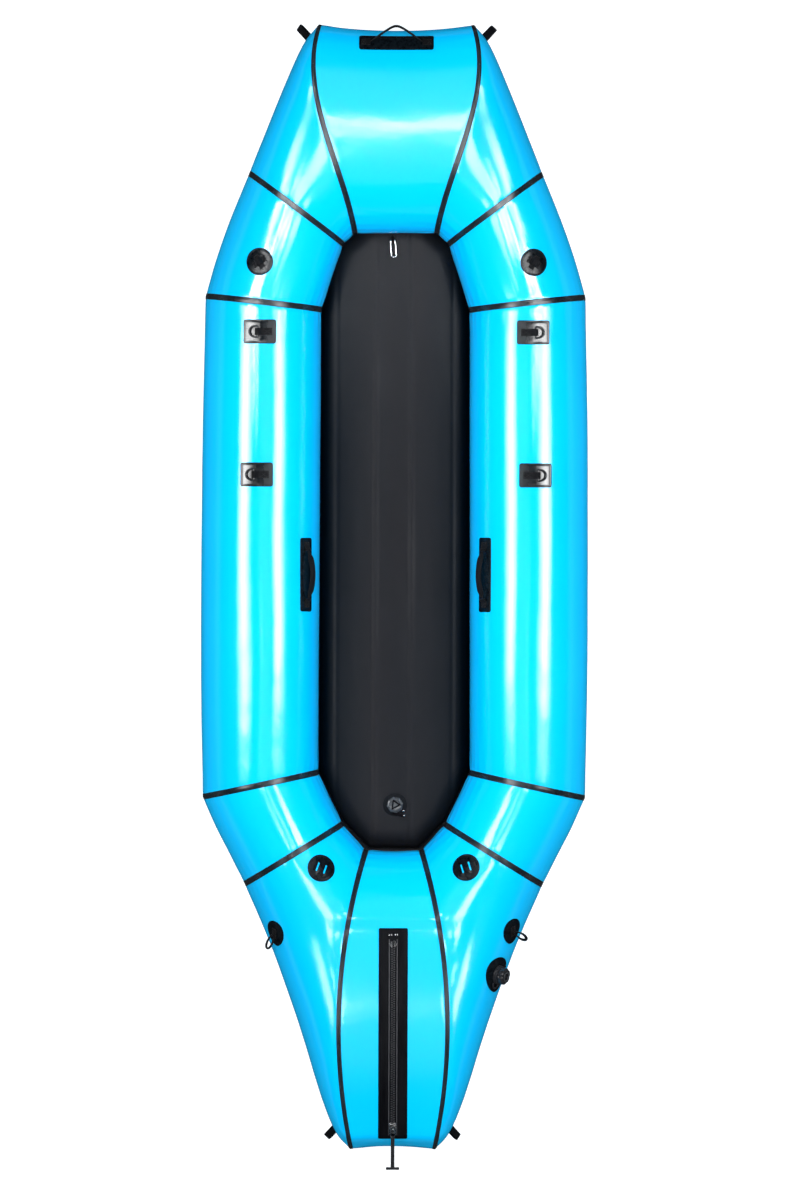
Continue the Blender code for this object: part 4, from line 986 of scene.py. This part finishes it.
# ---------------------------------------------------------------- bottom sheet
edge = []
for panel, count in (("CB", 14), ("BA", 8), ("AD", 30), ("DE", 6), ("EF", 16)):
    for k in range(count + 1):
        p = surface(panel, 1, [k / count], np.array([math.radians(258)]))[0, 0]
        edge.append((p[1], p[0]))
edge = sorted(set((round(a, 5), round(b, 5)) for a, b in edge))
lo_y, hi_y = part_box("bottom_sheet")[0][1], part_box("bottom_sheet")[1][1]
ys = np.linspace(lo_y, hi_y, 130)
half = np.interp(ys, [e[0] for e in edge], [e[1] for e in edge])
xs = np.concatenate([np.linspace(-1, -0.97, 4)[:-1], np.linspace(-0.97, 0.97, 41), np.linspace(0.97, 1, 4)[1:]])
top, bot = np.empty((len(ys), len(xs), 3)), np.empty((len(ys), len(xs), 3))
uv = np.empty((len(ys), len(xs), 2))
for j, y in enumerate(ys):
    base = float(rise(y - Y_SHIFT))
    for i, s in enumerate(xs):
        x = s * half[j]
        sag = 0.00035 * noise.noise(Vector((x * 9, y * 6, 4.0)))
        top[j, i] = (x, y, base + 0.0030 + sag)
        bot[j, i] = (x, y, base + 0.0022 - 0.0004 * (1 - abs(s) ** 6) + sag if base > 0.0005 else 0.0006 + min(sag, 0.0))
        uv[j, i] = (x, y)
slab("bottom_sheet_fabric", top, bot, uv, F["bottom"], replaces=("bottom_sheet",))

# a welded strip joins the sheet's edge to the tube
for side, word in ((1, "right"), (-1, "left")):
    angles = np.radians([262, 259, 256, 253, 250.5, 249])
    tops, bots = [], []
    for name, panel, spans, s in PANELS:
        if panel not in ("CB", "BA", "AD", "DE", "EF") or s != side:
            continue
        last = [1.0] * len(angles)
        if panel == "EF":
            # the strip stops level with the sheet's straight stern edge
            probe = np.linspace(0, 1, 401)
            run_y = surface(panel, side, probe, angles)[..., 1]
            last = [float(probe[np.nonzero(run_y[:, i] >= lo_y)[0][-1]]) for i in range(len(angles))]
        count = {"CB": 30, "BA": 16, "AD": 50, "DE": 14, "EF": 60}[panel]
        for k in range(count + (1 if panel == "EF" else 0)):
            g, out = np.empty((len(angles), 3)), np.empty((len(angles), 3))
            for i, a in enumerate(angles):
                t = [k / count * last[i]]
                g[i] = surface(panel, side, t, angles[i:i + 1])[0, 0]
                out[i] = g[i] - surface(panel, side, t, np.array([math.pi / 2, 3 * math.pi / 2]))[0].mean(axis=0)
            out /= np.linalg.norm(out, axis=1, keepdims=True)
            lift = np.array([0.0024, 0.0020, 0.0014, 0.0011, 0.0009, 0.0005])[:, None]
            tops.append(g + out * lift)
            bots.append(g - out * 0.0006)
    top, bot = np.array(tops), np.array(bots)
    uv = np.zeros((*top.shape[:2], 2))
    uv[..., 0] = np.linspace(-0.0068, 0.0068, top.shape[1])[None, :]
    uv[..., 1] = np.arange(top.shape[0])[:, None] * 0.02
    slab(f"bottom_seam_strip_{word}", top, bot, uv, F["tape"])

# ---------------------------------------------------------------- floor mat
MAT = [(0.074, 0.9430), (0.142, 0.8900), (0.190, 0.7150), (0.193, -0.4300), (0.128, -0.5600), (0.062, -0.6280)]
MAT_Y = [p[1] for p in MAT][::-1]
MAT_X = [p[0] for p in MAT][::-1]
WALLS = [(Vector(a), Vector(b)) for a, b in zip(MAT, MAT[1:])]
LANES = (-0.146, -0.048, 0.0425, 0.146)


def border(x, y):
    """Distance inside the mat's outline."""
    e = min(MAT[0][1] - y, y - MAT[-1][1])
    p = Vector((abs(x), y))
    for a, b in WALLS:
        d = (b - a).normalized()
        e = min(e, (p - a).dot(Vector((d.y, -d.x))))
    return e


def mat_height(x, y):
    e = max(border(x, y), 0.0)
    r = 0.046 + 0.014 * float(step((abs(x) - 0.045) / 0.05) * step((y - 0.855) / 0.05))
    z = MAT_TOP - 0.0004 - 0.036 * (1 - math.sqrt(max(1 - (1 - min(e / r, 1.0)) ** 2.2, 0.0)))
    ends = min(MAT[0][1] - y, y - MAT[-1][1])
    for c in LANES:
        z -= 0.0021 * math.exp(-(((x - c) / 0.0055) ** 2)) * float(step(e / 0.02))
        if ends < 0.10:
            z += 0.0022 * math.sin((x - c) * 2 * math.pi / 0.017 + 9 * c) * math.exp(-abs(x - c) / 0.016) * math.exp(-max(ends - 0.012, 0) / 0.022) * float(step(e / 0.010))
    lane = (x - 0.049) / 0.098
    z += 0.0010 * math.cos(2 * math.pi * (lane - 0.5)) * float(step(e / 0.04))
    z += 0.0008 * noise.noise(Vector((x * 16, y * 5, 1.7))) + 0.0004 * noise.noise(Vector((x * 45, y * 16, 6.1)))
    rr = math.hypot(x - 0.003, y + 0.520)
    z += 0.0009 * math.exp(-(((rr - 0.036) / 0.004) ** 2)) - 0.0006 * math.exp(-((rr / 0.03) ** 4))
    return z


span = MAT[0][1] - MAT[-1][1]
rows = [MAT[-1][1] + span * (0.5 - 0.5 * math.cos(math.pi * min(max(k / 200, 0), 1))) for k in range(201)]
rows = sorted(set([MAT[-1][1] + 0.0001] + [r for r in np.linspace(MAT[-1][1], MAT[0][1], 171)[1:-1]] + [MAT[-1][1] + d for d in (0.001, 0.003, 0.006)] + [MAT[0][1] - d for d in (0.001, 0.003, 0.006)] + [MAT[0][1] - 0.0001]))
cols = [math.sin(math.pi / 2 * (-1 + 2 * i / 120)) * 0.35 + 0.65 * (-1 + 2 * i / 120) for i in range(121)]
top, bot = np.empty((len(rows), len(cols), 3)), np.empty((len(rows), len(cols), 3))
uv = np.empty((len(rows), len(cols), 2))
for j, y in enumerate(rows):
    w = float(np.interp(y, MAT_Y, MAT_X))
    for i, s in enumerate(cols):
        x = s * w
        top[j, i] = (x, y + Y_SHIFT, mat_height(x, y))
        e = max(border(x, y), 0.0)
        low = 0.0045 + float(rise(y)) * 1.15 + 0.026 * (1 - math.sqrt(max(1 - (1 - min(e / 0.03, 1.0)) ** 2, 0.0)))
        bot[j, i] = (x, y + Y_SHIFT, min(low, 0.0325))
        uv[j, i] = (x, y)
slab("floor_mat_cover", top, bot, uv, F["mat"], replaces=("floor_mat",), sharp=70)


def mat_frame(x, y, along=(0, 1, 0)):
    return frame_from(Vector((x, y + Y_SHIFT, MAT_TOP)), Vector((0, 0, 1)), along)


m = mat_frame(0.003, -0.520)
m.translation.z = MAT_TOP + 0.0005
turned(
    "floor_valve_flange", m,
    eased([(0, -0.0020), (0.0296, -0.0020), (0.0302, -0.0006), (0.0270, 0.0010), (0.0200, 0.0016), (0.0192, 0.0024), (0.0192, 0.0062), (0.0182, 0.0070), (0, 0.0070)]),
    F["flange"], replaces=("floor_valve_base",), segs=80,
)
m2 = m @ Matrix.Translation(Vector((0, 0, 0.0075)))
turned(
    "floor_valve_cap_lid", m2,
    eased([(0, 0.0), (0.0190, 0.0), (0.0203, 0.0012), (0.0203, 0.0032), (0.0188, 0.0050), (0.0172, 0.0054), (0.0160, 0.0064), (0.0140, 0.0066), (0.0126, 0.0052), (0, 0.0050)], 0.0005),
    F["cap"], "floor_cap", ("floor_valve_cap",), 96,
    shape=lambda a, r, h: (math.cos(math.pi / 8) / math.cos((a - 0.2) % (math.pi / 4) - math.pi / 8) + 0.035) if r > 0.0128 and h > 0.0006 else 1.0,
)
corners = [(0.0156 * math.cos(math.radians(d)), 0.0156 * math.sin(math.radians(d))) for d in (2, 112, 236)]
for key, grow, h0, h1 in (("plate", 1.0, 0.0046, 0.0092), ("crown", 0.56, 0.0090, 0.0104)):
    tri = [Vector((a * grow, b * grow, 0)) for a, b in corners]
    flat = resample([tri[i].lerp(tri[(i + 1) % 3], q) for i in range(3) for q in (0.07, 0.93)], 60, True)
    tube(f"floor_valve_cap_{key}", [[m2 @ Vector((q.x * k, q.y * k, h)) for q in flat] for k, h in ((1.04, h0), (1.0, h1 - 0.0006), (0.93, h1))], F["edge" if key == "plate" else "cap"], "floor_cap", sharp=25)
strap("floor_valve_tether", m, [(-0.0060, -0.0215, 0.0022), (0.0060, -0.0235, 0.0034), (0.0160, -0.0262, 0.0036), (0.0240, -0.0285, 0.0030)], 0.0036, 0.0011, F["edge"], steps=30, across=(0.7, 0.7, 0))
for k, (x, y) in enumerate(((0.0212, -0.0152), (0.0232, -0.0262))):
    stud = frame_from(m @ Vector((x, y, 0.0030)), Vector((0, 0, 1)), (0, 1, 0))
    turned(f"floor_valve_stud_{k}", stud, eased([(0, -0.0020), (0.0032, -0.0020), (0.0032, 0.0012), (0.0022, 0.0026), (0, 0.0030)], 0.0010), F["bright_ring"], segs=32)

# ---------------------------------------------------------------- gear ring on the mat
m = mat_frame(-0.0075, 0.8990, (1, 0.078, 0))
m.translation.z = MAT_TOP + 0.0005
strap("gear_ring_tab_web", m, [(-0.0165, 0, 0.0008), (-0.0090, 0, 0.0010), (-0.0046, 0, 0.0030), (-0.0030, 0, 0.0078), (0.0, 0, 0.0088), (0.0030, 0, 0.0078), (0.0046, 0, 0.0030), (0.0060, 0, 0.0010), (0.0085, 0, 0.0008)], 0.0036, 0.0007, F["edge"], replaces=("gear_ring_tab",), steps=70)
strap("gear_ring_base_web", m, [(-0.0165, 0, -0.0004), (-0.0040, 0, 0.0), (0.0085, 0, 0.0)], 0.0100, 0.0007, F["flange"], steps=20)
stitches("gear_ring_thread", box_lines(m, -0.0150, -0.0085, -0.0022, 0.0022, 0.0018))
path = [(0, -0.0056, 0.0050), (0, 0, 0.0050), (0, 0.0056, 0.0050), (0.0120, 0.0060, 0.0050), (0.0240, 0.0060, 0.0050)]
for i in range(13):
    a = math.pi / 2 - math.pi * i / 12
    path.append((0.0362 + 0.0062 * math.cos(a), 0.0060 * math.sin(a), 0.0050))
path += [(0.0240, -0.0060, 0.0050), (0.0120, -0.0060, 0.0050)]
wire("gear_ring_wire", m, path, 0.0022, F["bright_ring"], "gear_ring", replaces=("gear_ring",), count=120)

# ---------------------------------------------------------------- cargo zip
ZIP_LO, ZIP_HI = -1.3500, -0.8250


def zip_normal(y):
    s = (y - ARC_Y) / ARC_R
    return Vector((0, s, math.sqrt(1 - s * s)))


def zip_base(x, y):
    p, _, _, _ = skin.ray_cast(Vector((x, y + Y_SHIFT, 1)), Vector((0, 0, -1)))
    return p


def zip_sheet(name, half, y0, y1, mat, lift, rows, cols, replaces=()):
    ys = [y0 + (y1 - y0) * j / rows for j in range(rows + 1)]
    for y, k in ((y0, 1), (y1, -1)):
        ys += [y + k * d for d in (0.0008, 0.0018, 0.0030, 0.0038, 0.0046)]
    ys = sorted(ys)
    xs = sorted([-half + e for e in (0, 0.0008, 0.0018, 0.0030, 0.0038, 0.0046)] + [half - e for e in (0, 0.0008, 0.0018, 0.0030, 0.0038, 0.0046)] + cols)
    top, bot = np.empty((len(ys), len(xs), 3)), np.empty((len(ys), len(xs), 3))
    uv = np.empty((len(ys), len(xs), 2))
    r = 0.004
    for j, y in enumerate(ys):
        n = zip_normal(y)
        for i, x in enumerate(xs):
            du, dv = abs(x) - (half - r), max(y0 + r - y, y - (y1 - r))
            a, b = x, y
            e = min(half - abs(x), y - y0, y1 - y)
            if du > 0 and dv > 0:
                k = max(du, dv) / math.hypot(du, dv)
                a = math.copysign(half - r + du * k, x)
                b = (y0 + r - dv * k) if y < (y0 + y1) / 2 else (y1 - r + dv * k)
                e = r - max(du, dv)
            p = zip_base(a, b)
            top[j, i] = p + n * lift(a, b, e)
            bot[j, i] = p - n * 0.0002
            uv[j, i] = (a, b)
    return slab(name, top, bot, uv, F[mat], replaces=replaces)


def tape_lift(x, y, e):
    ax = abs(x)
    h = 0.0003 + edge_lift(e, 0.0026)
    h -= 0.0004 * math.exp(-(((ax - 0.0295) / 0.0008) ** 2))
    h -= 0.0009 * float(step((0.0135 - ax) / 0.0015)) * float(step((e - 0.012) / 0.004))
    return h + 0.0002 * noise.noise(Vector((x * 60, y * 14, 3.3)))


zip_sheet("zip_tape_sheet", 0.0365, ZIP_LO, ZIP_HI, "zip_tape", tape_lift, 120, [-0.0310, -0.0295, -0.0280, -0.024, -0.019, -0.0155, -0.0145, -0.0135, -0.0125, -0.0118, -0.008, -0.004, 0, 0.004, 0.008, 0.0118, 0.0125, 0.0135, 0.0145, 0.0155, 0.019, 0.024, 0.0280, 0.0295, 0.0310], ("zip_tape",))

# moulded teeth, two rows that interlock down the middle, between two ribs
teeth_lo, teeth_hi = ZIP_LO + 0.013, ZIP_HI - 0.032
verts, faces = [], []
count = int((teeth_hi - teeth_lo) / 0.0022)
for k in range(count):
    y = teeth_lo + (teeth_hi - teeth_lo) * (k + 0.5) / count
    s = 1 if k % 2 else -1
    n = zip_normal(y)
    t = Vector((0, n.z, -n.y))
    origin = zip_base(0, y) + n * 0.0030
    base = len(verts)
    hw, hl = 0.0024, 0.00085
    for h, ins in ((0.0, 0.0), (0.0020, 0.0), (0.0029, 0.0005)):
        for a, b in ((-1, -1), (1, -1), (1, 1), (-1, 1)):
            x = s * 0.0029 + a * (hw - ins)
            verts.append(origin + Vector((x, 0, 0)) + t * (b * (hl - ins * 0.5)) + n * h)
    for lv in (0, 4):
        for e in range(4):
            g = (e + 1) % 4
            faces.append((base + lv + e, base + lv + g, base + lv + 4 + g, base + lv + 4 + e))
    faces += [(base + 3, base + 2, base + 1, base), (base + 8, base + 9, base + 10, base + 11)]
finish_mesh("zip_teeth_rows", verts, faces, None, F["zip_teeth"], "raft", ("zip_teeth",), sharp=30)
for s, word in ((1, "right"), (-1, "left")):
    for off, r, key in ((0.0098, 0.0010, "outer"),):
        loops = []
        for j in range(121):
            y = teeth_lo - 0.004 + (teeth_hi + 0.008 - teeth_lo) * j / 120
            n = zip_normal(y)
            c = zip_base(s * off, y) + n * 0.0028
            loops.append([c + Vector((1, 0, 0)) * (r * 1.3 * math.cos(a)) + n * (r * math.sin(a)) for a in (2 * math.pi * e / 8 for e in range(8))])
        tube(f"zip_rib_{word}_{key}", loops, F["zip_teeth"])
# end stops: two clasps at the top of the rows, and a sewn bar above them
lines = []
for s, word in ((1, "right"), (-1, "left")):
    y = ZIP_HI - 0.0420
    n = zip_normal(y)
    c = zip_base(0, y) + n * 0.0040
    mm = frame_from(c, n, (0, 1, 0))
    for key, bend in (("outer", [(0.0094, 0.0045, 0), (0.0072, -0.0015, 0.0004), (0.0036, -0.0058, 0.0002)]), ("inner", [(0.0052, 0.0078, 0), (0.0036, 0.0015, 0.0006), (0.0030, -0.0056, 0.0003)])):
        strap(f"zip_stop_{word}_{key}", mm, [(s * a, b, h) for a, b, h in bend], 0.0011, 0.0010, F["dark_metal"], steps=20, across=(1, 0, 0), section=12)
    for x in (0.0050, 0.0100):
        y2 = ZIP_HI - 0.0170
        c = zip_base(s * x, y2) + zip_normal(y2) * 0.0031
        strap(f"zip_bar_{word}_{int(x * 1e4)}", frame_from(c, zip_normal(y2), (0, 1, 0)), [(0, -0.0022, 0), (0, 0, 0.0005), (0, 0.0022, 0)], 0.0012, 0.0006, F["metal"], steps=10, across=(1, 0, 0), section=10)

# slider
SLIDER_Y = -1.3220
n = zip_normal(SLIDER_Y)
m = frame_from(Vector((0, ARC_Y + Y_SHIFT, ARC_Z)) + n * ARC_R, n, (0, 1, 0))
deck = 0.0052 + 0.0026 + 0.0010


def slider_loop(v):
    """Section of the slider's body at v: waisted towards the tail, with two rounded shoulders ahead."""
    f = (v + 0.0140) / 0.0280
    w = 0.0068 + 0.0027 * float(step(f / 0.75))
    hi = 0.0056 - 0.0016 * abs(2 * f - 1) ** 3
    return [m @ Vector((w * math.copysign(abs(math.cos(a)) ** 0.5, math.cos(a)), v, deck + hi / 2 + hi / 2 * math.copysign(abs(math.sin(a)) ** 0.45, math.sin(a)))) for a in (2 * math.pi * k / 28 for k in range(28))]


vs = [-0.0140 + 0.0280 * (0.5 - 0.5 * math.cos(math.pi * k / 24)) for k in range(25)]
ends = []
for v in vs:
    lp = slider_loop(v)
    c = sum(lp, Vector()) / len(lp)
    k = min(1.0, 0.72 + 0.28 * float(step(min(v + 0.0140, 0.0140 - v) / 0.0022)))
    ends.append([c + (p - c) * k for p in lp])
tube("zip_slider_body", ends, F["metal"], "zip_slider", replaces=("zip_slider",))
strap("zip_slider_bridge", m, [(0, -0.0112, deck + 0.0046), (0, -0.0108, deck + 0.0110), (0, -0.0050, deck + 0.0134), (0, 0.0022, deck + 0.0116), (0, 0.0052, deck + 0.0046)], 0.0024, 0.0010, F["metal"], "zip_slider", steps=40, across=(1, 0, 0))
for s, word in ((1, "right"), (-1, "left")):
    strap(f"zip_slider_cheek_{word}", m, [(s * 0.0060, -0.0060, deck + 0.0048), (s * 0.0066, 0.0020, deck + 0.0060), (s * 0.0066, 0.0100, deck + 0.0046)], 0.0016, 0.0010, F["metal"], "zip_slider", steps=20, across=(1, 0, 0))

# pull
eye = m @ Vector((0, -0.0030, deck + 0.0090))
droop = math.radians(11)
mp = Matrix((Vector((1, 0, 0)), Vector((0, -math.cos(droop), -math.sin(droop))), Vector((0, -math.sin(droop), math.cos(droop))))).transposed().to_4x4()
mp.translation = eye
link_path = [(0.0062 * math.cos(a), 0.0095 - 0.0112 * math.sin(a), 0.0) for a in (2 * math.pi * k / 24 for k in range(24))]
wire("zip_pull_link", mp, link_path, 0.0013, F["metal"], "zip_pull", count=72, sides=12, rounds=1)
loops = []
for k in range(41):
    f = k / 40
    v = 0.0175 + 0.0790 * f
    w = 0.0049 - 0.0003 * math.sin(math.pi * f)
    h = 0.0017 + 0.0003 * math.sin(math.pi * f)
    if k in (0, 1):
        w, h = w * (0.75 if k == 0 else 0.95), h * (0.6 if k == 0 else 0.92)
    loops.append([mp @ Vector((a, v, b)) for a, b in oval(w, h, 20, 0.5)])
tube("zip_pull_stem", loops, F["pull"], "zip_pull", replaces=("zip_pull",))
loops = []
for k in range(33):
    f = -1 + 2 * k / 32
    r = 0.0039 * (1 - 0.14 * (1 - f * f)) * min(1.0, math.sqrt(max(1 - ((abs(f) - 0.86) / 0.14) ** 2, 0.0)) if abs(f) > 0.86 else 1.0)
    loops.append([mp @ Vector((0.0170 * f, 0.0994 + max(r, 0.0004) * math.cos(a), max(r, 0.0004) * 0.62 * math.sin(a))) for a in (2 * math.pi * e / 20 for e in range(20))])
tube("zip_pull_bar", loops, F["pull"], "zip_pull")

# ---------------------------------------------------------------- floor, light and camera
scene = bpy.context.scene
scene.view_settings.view_transform = "Standard"
k = Finish("studio_floor", (0.40, 0.40, 0.40), 0.85, specular=0.1)
k.b.inputs["Emission Color"].default_value = (1, 1, 1, 1)
k.b.inputs["Emission Strength"].default_value = 0.95
mesh = bpy.data.meshes.new("floor_plane")
mesh.from_pydata([(-200, -200, 0), (200, -200, 0), (200, 200, 0), (-200, 200, 0)], [], [(0, 1, 2, 3)])
floor = bpy.data.objects.new("floor_plane", mesh)
floor.location.z = -0.0006
floor.visible_glossy = False
mesh.materials.append(k.m)
scene.collection.objects.link(floor)

world = bpy.data.worlds.new("studio")
scene.world = world
world.use_nodes = True
wt = world.node_tree
up = wt.nodes.new("ShaderNodeSeparateXYZ")
wt.links.new(wt.nodes.new("ShaderNodeTexCoord").outputs["Generated"], up.inputs[0])
fall = wt.nodes.new("ShaderNodeMapRange")
fall.interpolation_type = "SMOOTHSTEP"
level = wt.nodes.new("ShaderNodeMath")
level.operation = "ABSOLUTE"
wt.links.new(up.outputs["Z"], level.inputs[0])
wt.links.new(level.outputs[0], fall.inputs["Value"])
fall.inputs["From Min"].default_value, fall.inputs["From Max"].default_value = 0.02, 0.22
fall.inputs["To Min"].default_value, fall.inputs["To Max"].default_value = 0.28, 0.03
back = wt.nodes["Background"]
back.inputs[0].default_value = (0.95, 0.97, 1.0, 1)
wt.links.new(fall.outputs[0], back.inputs[1])


def area(name, loc, aim, sx, sy, radiance, half=90.0, gloss=False, roll=0.0):
    """A softbox of this brightness, gridded to a cone of this half angle; gloss ones only make the highlights."""
    data = bpy.data.lights.new(name, "AREA")
    gain = 1.0
    if half < 90:
        data.spread = math.radians(2 * half)
        gain = math.tan(math.radians(half)) / (math.tan(math.radians(half)) - math.radians(half))
    data.shape, data.size, data.size_y, data.energy = "RECTANGLE", sx, sy, radiance * sx * sy * math.pi / gain
    ob = bpy.data.objects.new(name, data)
    ob.location = loc
    turn = (Vector(aim) - Vector(loc)).to_track_quat("-Z", "Y").to_matrix()
    ob.rotation_euler = (turn @ Matrix.Rotation(math.radians(roll), 3, "Z")).to_euler()
    ob.visible_glossy = gloss
    ob.visible_diffuse = not gloss
    ob.visible_camera = False
    scene.collection.objects.link(ob)
    return ob


for s, word in ((1, "right"), (-1, "left")):
    area(f"soft_{word}", (3.3 * s, 0.15, 5.0), (0, 0.15, 0.2), 1.24, 2.6, 22.0, 37.5)
    area(f"strip_{word}", (3.1 * s, 0.29, 5.0), (0, 0.20, 0.29), 1.24, 2.9, 36.0, 14.0, gloss=True)
    area(f"bow_gleam_{word}", (0.80 * s, -0.65, 5.0), (0.10 * s, 1.06, 0.36), 0.8, 0.9, 22.0, 12.0, gloss=True)
    for n, (x, y) in enumerate(((0.35, -0.19), (0.97, 0.01), (1.59, 0.21), (1.31, 0.75), (1.93, 0.95), (2.55, 1.15))):
        aim_y, radiance, half = (0.86, 42.0, 5.5) if n < 3 else (0.98, 75.0, 4.4)
        area(f"side_gleam_{n}_{word}", (x * s, y, 5.0), (0.31 * s, aim_y, 0.30), 0.62, 0.66, radiance, half, gloss=True, roll=20.0 * s)
    area(f"corner_gleam_{word}", (1.70 * s, 0.72, 5.0), (-0.24 * s, -0.60, 0.26), 0.6, 0.9, 30.0, 12.0, gloss=True)
    area(f"stern_gleam_{word}", (0.48 * s, -0.08, 5.0), (0.20 * s, -0.75, 0.28), 0.5, 0.5, 22.0, 8.0, gloss=True)
area("overhead", (0, 0.20, 2.5), (0, 0.20, 0), 1.0, 3.0, 7.6)

cam = bpy.data.cameras.new("camera")
cam.lens = 476.5
cam.sensor_width = 36
camera = bpy.data.objects.new("camera", cam)
camera.location = (0.01375, -0.0088, 40.0)
camera.rotation_euler = (0, 0, math.radians(0.2))
scene.collection.objects.link(camera)
scene.camera = camera
